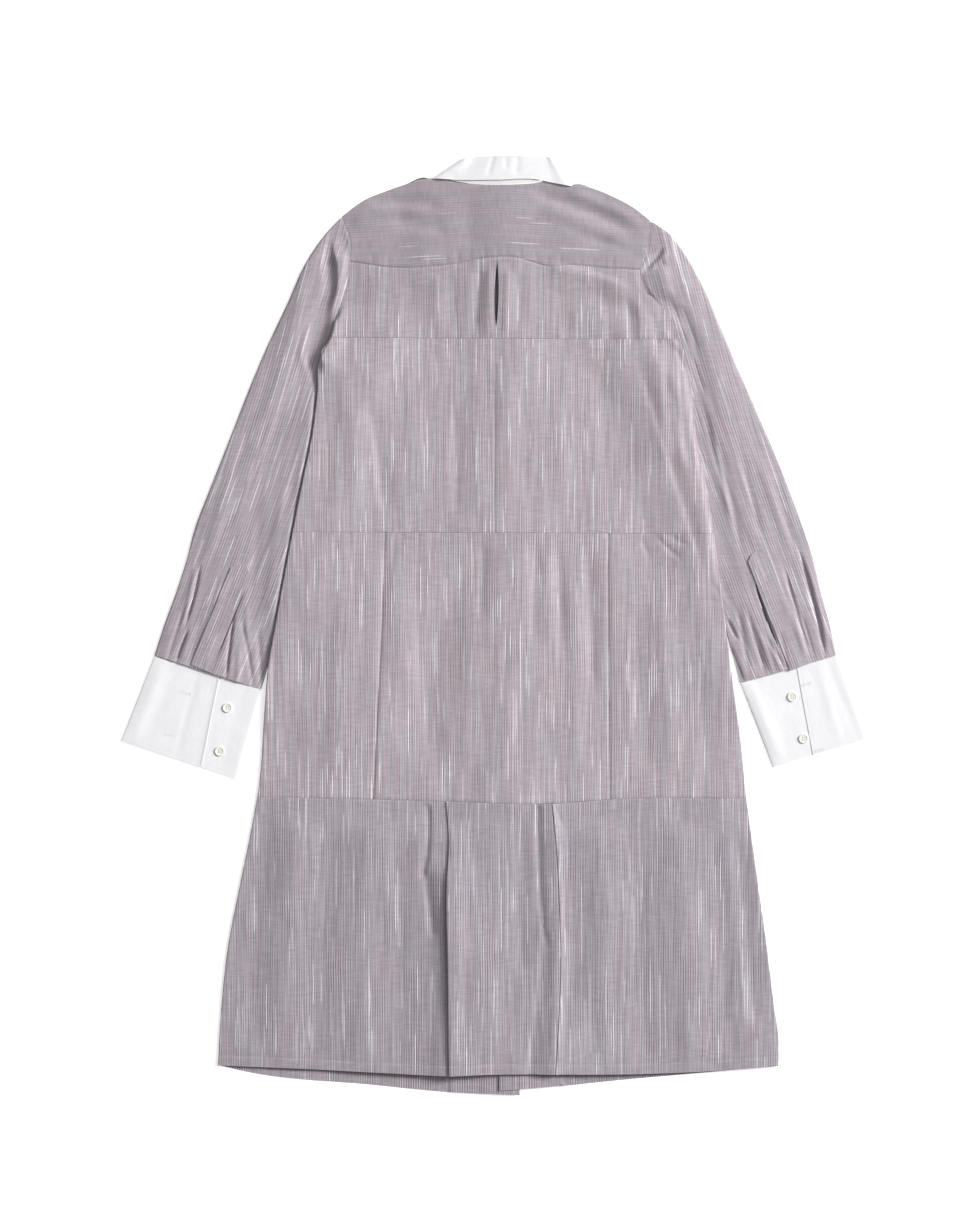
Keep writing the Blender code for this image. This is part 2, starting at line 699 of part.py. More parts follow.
def flounce_row(y):
    """Return the flounce's path from side to side at one height: x, rise, curl.

    The cloth runs under each pleat's edge, back to it and over it again.
    """
    angles = np.radians(CURL_ANGLES)
    share = (y - FLOUNCE_SEAM[0].y) / (BACK_HEM[0].y - FLOUNCE_SEAM[0].y)
    start = left_edge(y)
    end = right_edge(y)
    path = [(start + CURL_RADIUS * (1 - np.cos(a)), 0.0, a) for a in angles]
    begin = start + CURL_RADIUS
    rise = 0.0
    radius = PLEAT_STEP / 2
    half_turn = np.radians((36, 72, 108, 144))
    for pleat in PLEATS:
        edge = mix(pleat.top_x, pleat.hem_x, share)
        inner = edge + PLEAT_UNDERLAY
        fall = 2 * PLEAT_STEP * (rise > 0)
        for t in even(PLEAT_COLUMNS):
            x = mix(begin, inner, t)
            lowered = ease((x - begin) / PLEAT_FALL)
            path.append((x, fall * (1 - lowered), RIGHT_ANGLE))
        for a in half_turn:
            path.append((inner + radius * np.sin(a), radius * (1 - np.cos(a)), RIGHT_ANGLE))
        path.append((inner, PLEAT_STEP, RIGHT_ANGLE))
        path.append((edge, PLEAT_STEP, RIGHT_ANGLE))
        for a in half_turn:
            lift = PLEAT_STEP + radius * (1 - np.cos(a))
            path.append((edge - radius * np.sin(a), lift, RIGHT_ANGLE))
        path.append((edge, 2 * PLEAT_STEP, RIGHT_ANGLE))
        begin = inner + PLEAT_CLEAR
        rise = 2 * PLEAT_STEP
    for t in even(PLEAT_COLUMNS):
        x = mix(begin, end - CURL_RADIUS, t)
        lowered = ease((x - begin) / PLEAT_FALL)
        path.append((x, rise * (1 - lowered), RIGHT_ANGLE))
    path += [(end - CURL_RADIUS * (1 - np.cos(a)), 0.0, a) for a in angles[::-1]]
    return np.array(path)


def make_flounce():
    """Make the back flounce with its two knife pleats."""
    rows = []
    for share in even(FLOUNCE_ROWS):
        level = mix(*FLOUNCE_LEVELS, share)
        path = flounce_row(level)
        x = path[:, 0]
        y = mix(back_hem(x) + SEAM / 2, flounce_seam(x) - SEAM / 2, share)
        flat = back_height(x, y) + path[:, 1]
        meeting = side_seam_height(x, y) + CURL_GAP / 2
        z = mix(flat, meeting, 1 - np.sin(path[:, 2]))
        rows.append(np.stack([x, y, z], axis=-1))
    cloth("flounce_back", np.array(rows))


def sleeve_plan(side):
    """Return the rows down a sleeve and the map from its shares to its place in plan.

    Each row runs from the inner edge to the outer one. The first rows begin along
    the armhole, beside the back's own lines, and the next ones under the body.
    """
    outward = -1 if side == "left" else 1
    edge = left_edge if side == "left" else right_edge
    hidden = LEFT_UNDERARM if side == "left" else RIGHT_UNDERARM
    outline = LEFT_SLEEVE_OUTER if side == "left" else RIGHT_SLEEVE_OUTER
    cuff = CUFFS[0] if side == "left" else CUFFS[1]
    outer_x = smooth_line(outline, "y", "x")
    levels = armhole_levels(side)
    levels[0] -= RING_START
    inner = [(float(edge(y)) + outward * RING_GAP, y) for y in levels]
    inner += hidden
    top = outline[0].y
    outer_y = [top - (top - y) * OUTER_SHARE for x, y in inner]
    outer_y[0] = top - 2 * RING_START
    outer_end = outer_y[-1]
    for share in even(SLEEVE_ROWS)[1:]:
        inner.append(mix(np.array(hidden[-1]), np.array(cuff.inner_top), share))
        outer_y.append(mix(outer_end, cuff.outer_top[1], share))
    inner = np.array(inner)
    outer = np.column_stack([outer_x(outer_y), outer_y])
    middle = (inner + outer) / 2
    steps = np.linalg.norm(np.diff(middle, axis=0), axis=1)
    rows = np.concatenate([[0.0], np.cumsum(steps)]) / np.sum(steps)
    inner_line = route(inner, rows)
    outer_line = route(outer, rows)

    def at(across, along):
        across = np.asarray(across, dtype=float)[..., None]
        return mix(outer_line(along), inner_line(along), across)

    return rows, at


def outside_body(side, x, y):
    """Return how far a point lies outside the body's edge on one side."""
    if side == "left":
        return left_edge(y) - x
    return x - right_edge(y)


def armhole_height(side, y):
    """Return the height of the sleeve's upper layer at the armhole."""
    edge = left_edge(y) if side == "left" else right_edge(y)
    joined = ease((y - UNDER_BODY_FROM) / (JOINED_DOWN_TO - UNDER_BODY_FROM))
    return mix(SLEEVE_TOP, back_base(edge, y), joined)


def sleeve_fold_height(side, across, along, fade=0.25):
    """Return the height of a sleeve's folds at shares across and along it."""
    total = 0.0 * across
    for fold in SLEEVE_FOLDS:
        if fold.side != side:
            continue
        run = fold.along1 - fold.along0
        share = (along - fold.along0) / run
        offset = across - mix(fold.across0, fold.across1, share)
        width = np.where(offset < 0, fold.width, fold.width * fold.soft)
        ends = ease(share / fade) * ease((1 - share) / fade)
        total = total + fold.rise * np.exp(-((offset / width) ** 2)) * ends
    return total


def sleeve_height(side, across, along, x, y):
    """Return the height of a sleeve's upper layer."""
    gap = outside_body(side, x, y)
    near = 1 - ease(gap / NEAR_BODY)
    free = ease((gap - BESIDE_BODY) / CROWN_RUN)
    round_off = np.sin(np.pi * np.clip(across, 0, 1)) ** SLEEVE_ROUNDING
    crown = SLEEVE_CROWN * mix(1.0, SLEEVE_CROWN_AT_CUFF, along) * round_off
    folds = sleeve_fold_height(side, across, along) * round_off
    joined = ease((y - SEAM_FADE_Y) / SEAM_FADE_RUN)
    seam = (armhole_height(side, y) - SLEEVE_TOP) * near * joined
    return SLEEVE_TOP + seam + (crown + folds) * free


def sleeve_points(side):
    """Return a sleeve's sections: over it from the inner edge, round and under it."""
    rows, plan = sleeve_plan(side)
    share, _, inner_angle = lines(even(SLEEVE_COLUMNS), False, True)
    turn = np.radians((45.0, 90.0, 135.0))
    sections = []
    for along in rows:
        ends = plan(np.array([0.0, 1.0]), along)
        width = np.linalg.norm(ends[1] - ends[0])
        line = (ends[1] - ends[0]) / width
        outer_height = float(sleeve_height(side, 0.0, along, *ends[0]))
        radius = (outer_height - FLOOR_CLOTH) / 2
        closed = float(ease((CLOSED_FROM_Y - ends[1][1]) / CLOSED_RUN))
        reach = (SLEEVE_TOP - FLOOR_CLOTH) / 2
        offset = mix(radius, width - reach, share) + reach * np.cos(inner_angle)
        place = ends[0] + line * offset[:, None]
        over = sleeve_height(side, offset / width, along, place[:, 0], place[:, 1])
        under = np.full_like(over, FLOOR_CLOTH)
        meeting = (over + under) / 2
        turned = closed * (1 - np.sin(inner_angle))
        over = mix(over, meeting + CURL_GAP / 2, turned)
        under = mix(under, meeting - CURL_GAP / 2, turned)
        upper = np.column_stack([place, over])
        lower = np.column_stack([place, under])
        middle = ends[0] + line * radius
        arc = [
            (*(middle - line * radius * np.sin(a)), FLOOR_CLOTH + radius * (1 + np.cos(a)))
            for a in turn
        ]
        sections.append(np.concatenate([upper[::-1], arc, lower]))
    sections = np.array(sections)
    down = sections[-1, :, :2] - sections[-2, :, :2]
    length = np.linalg.norm(down, axis=1)[:, None]
    sections[-1, :, :2] -= down / length * SEAM
    return sections


def make_sleeves():
    """Make both sleeves and the placket strip on each."""
    for side in ("left", "right"):
        cloth("sleeve_" + side, sleeve_points(side))
        cloth("sleeve_placket_" + side, placket_points(side))


def placket_points(side):
    """Return the strip that lies on a sleeve beside its slit, pointed at the top."""
    _, plan = sleeve_plan(side)
    cuff = CUFFS[0] if side == "left" else CUFFS[1]
    wrist = np.subtract(cuff.inner_top, cuff.outer_top)
    half = PLACKET_WIDTH / 2 / np.linalg.norm(wrist)
    centre = PLACKET_CENTRE[side]
    length = np.linalg.norm(plan(0.5, 1.0) - plan(0.5, 0.8)) / 0.2
    start = 1 - PLACKET_LENGTH / length
    across, along = np.meshgrid(np.linspace(-1, 1, PLACKET_COLUMNS), even(PLACKET_ROWS))
    point = PLACKET_POINT / PLACKET_LENGTH * across**2 * (1 - along) ** 3
    along = mix(start, 1 - 2 * SEAM / length, along + point)
    across = centre + half * across
    place = plan(across, along)
    x, y = place[..., 0], place[..., 1]
    z = sleeve_height(side, across, along, x, y) + WALL + SEAM
    return np.stack([x, y, z], axis=-1)


def cuff_path(width, tail, flap):
    """Return a cuff's section from its tail, round below, to its flap's edge.

    Each point is a distance from the outer fold and a height.
    """
    floor = WHITE_WALL / 2
    radius_low = (WHITE_WALL + CUFF_TURN_GAP) / 2
    tail_level = floor + 2 * radius_low
    flap_level = tail_level + WHITE_WALL + CUFF_LAP_GAP
    radius_high = (flap_level - floor) / 2
    turns = np.radians(CUFF_TURNS)
    inner = width - radius_low
    path = [(mix(tail, inner, t), tail_level) for t in even(CUFF_COLUMNS)]
    for a in turns:
        path.append((inner + radius_low * np.sin(a), floor + radius_low * (1 + np.cos(a))))
    path += [(mix(inner, radius_high, t), floor) for t in even(CUFF_COLUMNS)[1:]]
    for a in turns:
        path.append((radius_high * (1 - np.sin(a)), floor + radius_high * (1 - np.cos(a))))
    path += [(mix(radius_high, flap, t), flap_level) for t in even(CUFF_COLUMNS)[1:]]
    return path, tail_level


def make_cuffs():
    """Make the open cuffs, whose flap laps over the tail, and their buttons."""
    for cuff in CUFFS:
        rows = []
        for share in even(CUFF_ROWS):
            start = mix(np.array(cuff.outer_top), np.array(cuff.outer_end), share)
            end = mix(np.array(cuff.inner_top), np.array(cuff.inner_end), share)
            width = np.linalg.norm(end - start)
            line = (end - start) / width
            flap = mix(cuff.flap_top, cuff.flap_end, share)
            path, tail_level = cuff_path(width, cuff.tail * width, flap * width)
            rows.append([(*(start + line * s), z) for s, z in path])
        cloth("cuff_" + cuff.side, np.array(rows), WHITE, WHITE_WALL)
    for row in CUFF_BUTTONS:
        name = "cuff_button_" + row.side + "_" + row.name
        button(name, row.x, row.y, tail_level + WHITE_WALL / 2 + SEAM)


def stations(rows, names, front_z, back_z):
    """Return the points of a collar line round the neck, turning at the side folds."""
    x_name, y_name = names
    points = []
    angles = np.radians(COLLAR_TURNS)
    for index, row in enumerate(rows):
        x = getattr(row, x_name)
        y = getattr(row, y_name)
        if row.layer:
            z = front_z(x, y) if row.layer < 0 else back_z(x, y)
            points.append((x, y, float(z)))
            continue
        outward = -1 if x < COLLAR_CENTRE_X else 1
        low = float(front_z(x, y))
        high = float(back_z(x, y))
        centre = (low + high) / 2
        radius = (high - low) / 2
        rising = rows[index - 1].layer < 0
        for a in angles if rising else -angles:
            shift = outward * radius * (np.cos(a) - 1)
            points.append((x + shift, y, centre + radius * np.sin(a)))
    return np.array(points)


def stand_back(x, y):
    """Return the height of the collar stand on the back layer."""
    return back_base(x, np.minimum(y, NECK_LEVEL_Y))


def stand_front(x, y):
    """Return the height of the collar stand on the front layer."""
    return FLOOR_CLOTH + front_lift(x, np.minimum(y, NECK_LEVEL_Y))


def fall_back(x, y):
    """Return the height of the collar's fall on the back layer."""
    return stand_back(x, y) + FALL_OFFSET


def fall_front(x, y):
    """Return the height of the collar's fall at the front, on the floor."""
    return FLOOR_CLOTH


def make_collar():
    """Make the stand round the neck and the fall that turns down over it."""
    neck = stations(STAND, ("neck_x", "neck_y"), stand_front, stand_back)
    fold = stations(STAND, ("fold_x", "fold_y"), stand_front, stand_back)
    for line in (neck, fold):
        line[-1, 2] += STAND_LAP
        line[-2, 2] += STAND_LAP * STAND_LAP_START
    cloth("collar_stand", np.array([mix(neck, fold, t) for t in even(2)]), WHITE)
    top = stations(FALL, ("fold_x", "fold_y"), fall_front, fall_back)
    edge = stations(FALL, ("edge_x", "edge_y"), fall_front, fall_back)
    cloth("collar_fall", np.array([mix(top, edge, t) for t in even(3)]), WHITE)


def button(name, x, y, bottom):
    """Make a round button with a raised rim, its underside at bottom."""
    mesh = bpy.data.meshes.new(name)
    points = [
        (row.radius * BUTTON_WIDTH / 2 * MM, 0.0, row.height * BUTTON_HEIGHT * MM)
        for row in BUTTON_PROFILE
    ]
    mesh.from_pydata(points, [(i, i + 1) for i in range(len(points) - 1)], [])
    piece = bpy.data.objects.new(name, mesh)
    piece.location = (x * MM, y * MM, bottom * MM)
    dress.objects.link(piece)
    turned = piece.modifiers.new("turned", "SCREW")
    turned.axis = "Z"
    turned.steps = BUTTON_SIDES
    turned.render_steps = BUTTON_SIDES
    turned.use_merge_vertices = True
    turned.merge_threshold = 0.01 * MM
    turned.use_smooth_shade = True
    mesh.materials.append(finish(name, CREAM, 0.4))


def make_front_buttons():
    """Make the buttons that lie on the floor under the left front."""
    for index in range(BUTTON_COUNT):
        y = BUTTON_FIRST_Y - index * BUTTON_PITCH
        button("front_button_" + str(index + 1), CLOSING_X, y, 0.0)
    button("collar_button", CLOSING_X, COLLAR_BUTTON_Y, 0.0)


for old in list(bpy.data.objects):
    bpy.data.objects.remove(old, do_unlink=True)
dress = bpy.data.collections.new("shirt_dress")
bpy.context.scene.collection.children.link(dress)
make_back()
make_flounce()
make_fronts()
make_sleeves()
make_cuffs()
make_collar()
make_front_buttons()
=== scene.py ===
# %% [markdown]
# # A shirt dress laid flat on its front
# The dress lies face down on a table and is seen from straight above, so its back
# shows: a yoke with a keyhole slit under it, a bodice, a skirt in three panels and a
# flounce with two knife pleats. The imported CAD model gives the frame, and each of
# its cloth solids is replaced here by a thin shell with the finer creases.
#
# Every length below is in millimetres until a mesh is made, as on a paper pattern.

# %% Load the frame
from collections import namedtuple

import bpy
import numpy as np
from mathutils import Matrix, Vector


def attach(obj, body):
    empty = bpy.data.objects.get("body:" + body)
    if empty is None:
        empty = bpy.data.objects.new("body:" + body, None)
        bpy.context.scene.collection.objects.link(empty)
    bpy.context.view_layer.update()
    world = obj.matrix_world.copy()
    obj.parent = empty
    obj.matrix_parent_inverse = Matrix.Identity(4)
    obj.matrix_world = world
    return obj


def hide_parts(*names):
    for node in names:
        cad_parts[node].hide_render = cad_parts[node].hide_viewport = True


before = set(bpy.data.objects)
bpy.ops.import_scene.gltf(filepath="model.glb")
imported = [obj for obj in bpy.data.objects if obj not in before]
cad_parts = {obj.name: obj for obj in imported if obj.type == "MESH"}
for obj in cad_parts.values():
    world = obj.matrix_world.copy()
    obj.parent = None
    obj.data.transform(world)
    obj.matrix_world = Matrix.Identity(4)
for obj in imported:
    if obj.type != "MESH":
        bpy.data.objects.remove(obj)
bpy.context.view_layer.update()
MM = 0.001
print("CAD nodes:", len(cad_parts))

# %% [markdown]
# ## Camera, floor and light
# A flat garment is photographed from a camera hung straight above it. Its distance
# is chosen first and the lens follows from the height of the picture on the table.
# The key light comes low from the right, far away, so that it is the same all over
# and a fold 2 mm high still shows as a soft change of tone. Two softboxes and the
# room fill the shadows, and the table is a light table, which glows a little.

# %% The camera
PICTURE_HEIGHT = 1225
SCALE = 1.15
VIEW_CENTRE = (-5.75, 14.4)
CAMERA_HEIGHT = 3200.0


def deselect():
    """Leave nothing selected, so that an operator acts only on what is made next."""
    for piece in bpy.context.selected_objects:
        piece.select_set(False)


def put_in_scene(name, data):
    """Return a new object with a name and data, linked to the scene."""
    made = bpy.data.objects.new(name, data)
    bpy.context.scene.collection.objects.link(made)
    return made


def put_camera():
    """Hang the camera above the dress so that one pixel covers SCALE mm of it."""
    data = bpy.data.cameras.new("camera_above")
    data.lens = data.sensor_width * CAMERA_HEIGHT / (PICTURE_HEIGHT * SCALE)
    camera = put_in_scene("camera_above", data)
    camera.location = (VIEW_CENTRE[0] * MM, VIEW_CENTRE[1] * MM, CAMERA_HEIGHT * MM)
    bpy.context.scene.camera = camera


deselect()
put_camera()
print("camera lens in mm:", round(bpy.context.scene.camera.data.lens, 1))

# %% The lights, placed in metres
KEY_FROM = (2.2, 1.0, 1.3)
KEY_POWER = 4.0
KEY_SPREAD = np.radians(16)
ROOM_LIGHT = 0.26
WHITE = (1.0, 1.0, 1.0, 1.0)


def put_softbox(name, place, size, power):
    """Put a square softbox at a place, so that it faces the middle of the dress."""
    data = bpy.data.lights.new(name, "AREA")
    data.shape = "SQUARE"
    data.size = size
    data.energy = power
    light = put_in_scene(name, data)
    light.location = place
    light.rotation_euler = (-Vector(place)).to_track_quat("-Z", "Y").to_euler()


def set_sockets(node, values):
    """Give the named sockets of a shader node their values."""
    for socket, value in values.items():
        node.inputs[socket].default_value = value


sun = bpy.data.lights.new("key_light", "SUN")
sun.energy = KEY_POWER
sun.angle = KEY_SPREAD
key = put_in_scene("key_light", sun)
key.rotation_euler = Vector(KEY_FROM).to_track_quat("Z", "Y").to_euler()
put_softbox("softbox_left", (-2.2, 0.4, 2.4), 2.0, 3)
put_softbox("softbox_right", (1.5, 0.7, 1.9), 1.4, 18)
world = bpy.data.worlds.new("studio")
world.use_nodes = True
set_sockets(world.node_tree.nodes["Background"], {"Color": WHITE, "Strength": ROOM_LIGHT})
bpy.context.scene.world = world
bpy.context.scene.view_settings.view_transform = "Standard"
print("lights:", len(bpy.data.lights))

# %% The floor
FLOOR_SIZE = 8.0
FLOOR_WHITE = (0.95, 0.95, 0.95, 1.0)
FLOOR_GLOW = 0.5


def new_finish(name, values):
    """Return a new material, its node tree, and its shader set to these values."""
    material = bpy.data.materials.new(name)
    material.use_nodes = True
    shader = material.node_tree.nodes["Principled BSDF"]
    set_sockets(shader, values)
    return material, material.node_tree, shader


bpy.ops.mesh.primitive_plane_add(size=FLOOR_SIZE)
floor = bpy.context.object
floor.name = "floor"
floor_finish, _, _ = new_finish("floor_paint", {
    "Base Color": FLOOR_WHITE, "Emission Color": WHITE, "Emission Strength": FLOOR_GLOW,
    "Roughness": 0.9, "Specular IOR Level": 0.0})
floor.data.materials.append(floor_finish)
print("floor in m:", round(floor.dimensions.x, 1))

# %% [markdown]
# ## Pattern helpers
# A pattern cutter marks a few points and draws a fair curve through them. These
# helpers do the same: a short table gives the points, and smooth_line gives the
# curve as a function of height or of distance across.

# %% Tables and soft steps


def table(columns, *rows):
    """Return the rows as tuples with the named columns."""
    row = namedtuple("Row", columns)
    return [row(*values) for values in rows]


def by_side(rows):
    """Return a table's rows by the side of the dress that each is on."""
    return {row.side: row for row in rows}


def mix(a, b, share):
    """Return the value that lies share of the way from a to b."""
    return a + (b - a) * share


def ease(share):
    """Return a smooth step from 0 to 1."""
    share = np.clip(share, 0.0, 1.0)
    return share * share * (3 - 2 * share)


def bell(offset, width):
    """Return a soft hump that is 1 in its middle and fades over its width."""
    return np.exp(-((offset / width) ** 2))


def even(count):
    """Return evenly spaced shares from 0 to 1."""
    return np.linspace(0, 1, count + 1)


print("a soft step at its quarters:", ease(even(4)))

# %% Fair curves


def smooth_line(rows, along=0, value=1):
    """Return a smooth function through two columns of a table, straight past its ends."""
    knots = sorted((row[along], row[value]) for row in rows)
    place, level = np.array(knots, dtype=float).T
    step = np.diff(place)
    grade = np.diff(level) / step
    inner = (grade[:-1] * step[1:] + grade[1:] * step[:-1]) / (step[:-1] + step[1:])
    slope = np.concatenate([grade[:1], inner, grade[-1:]])

    def at(query):
        query = np.asarray(query, dtype=float)
        i = np.clip(np.searchsorted(place, query) - 1, 0, len(place) - 2)
        held = np.clip(query, place[0], place[-1])
        t = (held - place[i]) / step[i]
        t2 = t * t
        t3 = t2 * t
        curve = (2 * t3 - 3 * t2 + 1) * level[i] + (3 * t2 - 2 * t3) * level[i + 1]
        curve = curve + ((t3 - 2 * t2 + t) * slope[i] + (t3 - t2) * slope[i + 1]) * step[i]
        return curve + (query - held) * np.where(query < place[0], slope[0], slope[-1])

    return at


def steps_of(points):
    """Return the distance from each point of a line, or of a grid's columns, to the next."""
    return np.linalg.norm(np.diff(points, axis=0), axis=-1)


def distances(points):
    """Return how far along its line, or its column, each point lies."""
    steps = steps_of(points)
    return np.concatenate([np.zeros((1, *steps.shape[1:])), np.cumsum(steps, axis=0)])


def shares_along(line):
    """Return how far along a line each of its points lies, from 0 to 1."""
    return distances(line) / np.sum(steps_of(line))


def route(points, place):
    """Return a smooth function through points that have a place along the way."""
    strands = [smooth_line(zip(place, column)) for column in np.array(points, dtype=float).T]

    def at(share):
        return np.stack([strand(share) for strand in strands], axis=-1)

    return at


def beside(line, x, y):
    """Return how far a point lies beside a bowed line, and its share along the line."""
    run_x = line.x1 - line.x0
    run_y = line.y1 - line.y0
    length = np.hypot(run_x, run_y)
    along = ((x - line.x0) * run_x + (y - line.y0) * run_y) / length**2
    aside = ((y - line.y0) * run_x - (x - line.x0) * run_y) / length
    held = np.clip(along, 0, 1)
    return aside - line.bow * 4 * held * (1 - held), along


print("distances along a bent line:", distances(np.array([(0, 0), (3, 4), (3, 6)])))

# %% [markdown]
# ## The outline of the body
# The side edges follow the armhole and then the side seam down to the hem. The same
# points shape the CAD solids, so each shell lies on its own solid.

# %% Edges of the body
left_edge = smooth_line(table(
    "y x",
    (469, -176), (445, -167), (415, -167), (384, -171), (352, -184), (331, -189),
    (312, -199), (265, -204), (224, -209), (159, -222), (77, -238), (0, -252),
    (-46, -260), (-98, -264.5), (-184, -271), (-236, -279.5), (-305, -293),
    (-374, -306), (-477, -316), (-506, -317.5),
))
right_edge = smooth_line(table(
    "y x",
    (465, 178), (431, 174), (407, 167), (381, 176), (361, 197), (322, 214),
    (282, 224), (216, 231), (171, 240), (113, 250), (36, 260), (-20, 267),
    (-63, 272.5), (-132, 282), (-201, 289), (-270, 298), (-374, 312),
    (-443, 320), (-495, 326), (-507, 325.5),
))
EDGES = {"left": left_edge, "right": right_edge}
OUTWARD = {"left": -1, "right": 1}
print("width at the hem in mm:", round(float(right_edge(-505) - left_edge(-505))))

# %% Seams across the back, and the hems
yoke_top = smooth_line(table(
    "x y",
    (-176, 469), (-148, 489), (-126, 498), (-106, 505), (-69, 513), (-46, 508.5),
    (3, 505), (46, 507), (68, 510.5), (80.5, 504.5), (91, 506), (114, 501),
    (138, 491), (157, 481), (178, 465),
))
yoke_seam = smooth_line(table(
    "x y",
    (-167, 417.5), (-113, 410.5), (-52, 414), (-6, 422), (23, 422), (40, 417.5),
    (63, 411.5), (86, 413.5), (121, 410.5), (167, 408),
))
band_seam = smooth_line(table("x y", (-190, 330), (0, 329), (212, 328)))
waist_seam = smooth_line(table("x y", (-235, 107), (0, 106), (252, 105)))
flounce_seam = smooth_line(table(
    "x y",
    (-273, -198), (-140, -200), (-55, -202.5), (75, -204.5), (133, -200), (289, -199),
))
back_hem = smooth_line(table(
    "x y",
    (-317, -506), (-224, -509.5), (-132, -514), (-53, -517), (-17, -516),
    (67, -515.5), (110, -516), (167, -515.5), (236, -513), (326, -507),
))
left_front_top = smooth_line(table(
    "x y",
    (-176, 469), (-148, 489), (-126, 498), (-106, 505), (-74, 512), (-64, 503),
    (-50, 478), (-28, 449), (0, 434), (30, 431),
))
right_front_top = smooth_line(table(
    "x y",
    (4, 431), (18, 433), (40, 444), (62, 470), (76, 496), (91, 506), (114, 501),
    (138, 491), (157, 481), (178, 465),
))
left_front_hem = smooth_line(table(
    "x y",
    (-318, -506), (-293, -512), (-138, -529), (-53, -537), (31, -540.5),
))
right_front_hem = smooth_line(table(
    "x y",
    (4.5, -535), (75, -530), (167, -521), (236, -515), (326, -507),
))
print("length of the back in mm:", round(float(yoke_top(0) - back_hem(0))))

# %% Lines down the back: centre seam, skirt seams and the keyhole slit
centre_line = smooth_line(table("y x", (417, 2.5), (329, 1), (106, 0)))
left_skirt_seam = smooth_line(table("y x", (106, -126.5), (29, -129), (-199, -140)))
right_skirt_seam = smooth_line(table("y x", (106, 130), (29, 130), (-199, 132)))
SLIT_WIDTH = 4.6
SLIT_TOP_Y = 417.0
SLIT_END_Y = 340.0


def slit_half(y):
    """Return half the width of the keyhole slit at a height."""
    share = np.clip((y - SLIT_END_Y) / (SLIT_TOP_Y - SLIT_END_Y), 0, 1)
    return SLIT_WIDTH / 2 * np.sin(np.pi * share)


def slit_left(y):
    """Return where the slit's left edge lies at a height."""
    return centre_line(y) - slit_half(y)


def slit_right(y):
    """Return where the slit's right edge lies at a height."""
    return centre_line(y) + slit_half(y)


print("length of the slit in mm:", SLIT_TOP_Y - SLIT_END_Y)

# %% [markdown]
# ## Layers
# Laid out, a dress is a stack: the left front lies on the table over its buttons,
# the right front on it, the back on both, and the body's sides lie over the sleeves.
# Each lift below is one cause of height, and the cloth takes the largest of them,
# smoothly.

# %% Heights of the layers
SHELL = 0.6
WALL = 1.0
BODY_AIR = 3.0
SIDE_AIR = 1.4
AIR_RUN = 38.0
SLEEVE_AIR = 1.4
LAYER_AIR = 0.5
SEAM = 0.3
FLOOR_CLOTH = SHELL / 2
SLEEVE_TOP = WALL / 2 + WALL + SLEEVE_AIR
SIDE_LIFT = SLEEVE_TOP + WALL / 2 + LAYER_AIR
LAP = WALL + LAYER_AIR
CLOSING_X = 16.7
OVERLAP = 12.0
BUTTON_LIFT = 2.7
BUTTON_SPREAD = 45.0
SIDE_LIFT_TOP_Y = 374.0
SIDE_LIFT_TOP_RUN = 44.0
SIDE_LIFT_END_Y = -150.0
SIDE_LIFT_END_RUN = 94.0
SIDE_LIFT_REACH = 70.0
SIDE_LIFT_RUN = 60.0
UNDERARM_Y = 240.0
UNDERARM_REACH = 12.0
UNDERARM = {
    "left": table("x y", (-189, 292), (-178, 270), (-169, 253)),
    "right": table("x y", (210, 294), (203, 270), (195.5, 249)),
}
CUFFS = by_side(table(
    "side outer_top inner_top inner_end outer_end flap_top flap_end tail lip",
    ("left", (-391, -35), (-269, -74), (-298, -176), (-429, -132), 0.61, 0.70, 0.33, 0.6),
    ("right", (392, -35), (282, -67), (319.5, -163.5), (426.5, -131), 0.41, 0.57, 0.22, 0.0),
))


def sleeve_inner_line(side, y):
    """Return where the sleeve's inner edge runs under the body at a height."""
    top = UNDERARM[side][-1]
    end = CUFFS[side].inner_top
    share = (y - top.y) / (end[1] - top.y)
    return mix(top.x, end[0], share)


def side_lift(x, y):
    """Return the lift of the body's sides over the sleeves that lie under them."""
    from_top = ease((SIDE_LIFT_TOP_Y - y) / SIDE_LIFT_TOP_RUN)
    from_end = ease((y - SIDE_LIFT_END_Y) / SIDE_LIFT_END_RUN)
    reach = SIDE_LIFT_REACH + UNDERARM_REACH * ease((y - UNDERARM_Y) / SIDE_LIFT_RUN)
    from_left = ease((sleeve_inner_line("left", y) + reach - x) / SIDE_LIFT_RUN)
    from_right = ease((x - sleeve_inner_line("right", y) + reach) / SIDE_LIFT_RUN)
    return SIDE_LIFT * from_top * from_end * np.maximum(from_left, from_right)


def closing_lift(x):
    """Return the lift of the left front over its buttons."""
    return BUTTON_LIFT * bell(x - CLOSING_X, BUTTON_SPREAD)


print("lift of the body over a sleeve in mm:", round(SIDE_LIFT, 2))

# %% The lift over the collar, and all the lifts together
COLLAR_LIFT = 1.3
COLLAR_CENTRE_X = 8.0
COLLAR_HALF_WIDTH = 118.0
COLLAR_RUN = 34.0
COLLAR_END_Y = 370.0
COLLAR_END_RUN = 30.0
UNION_POWER = 4


def collar_lift(x, y):
    """Return the lift of the front over the collar's fall, which lies on the floor."""
    across = ease((COLLAR_HALF_WIDTH - np.abs(x - COLLAR_CENTRE_X)) / COLLAR_RUN)
    down = ease((y - COLLAR_END_Y) / COLLAR_END_RUN)
    return COLLAR_LIFT * across * down


def front_lift(x, y):
    """Return the smooth union of all that lifts the front off the floor."""
    lifts = (side_lift(x, y), closing_lift(x), collar_lift(x, y))
    return sum(lift**UNION_POWER for lift in lifts) ** (1 / UNION_POWER)


print("lift at the closing in mm:", round(float(front_lift(CLOSING_X, 0.0)), 2))

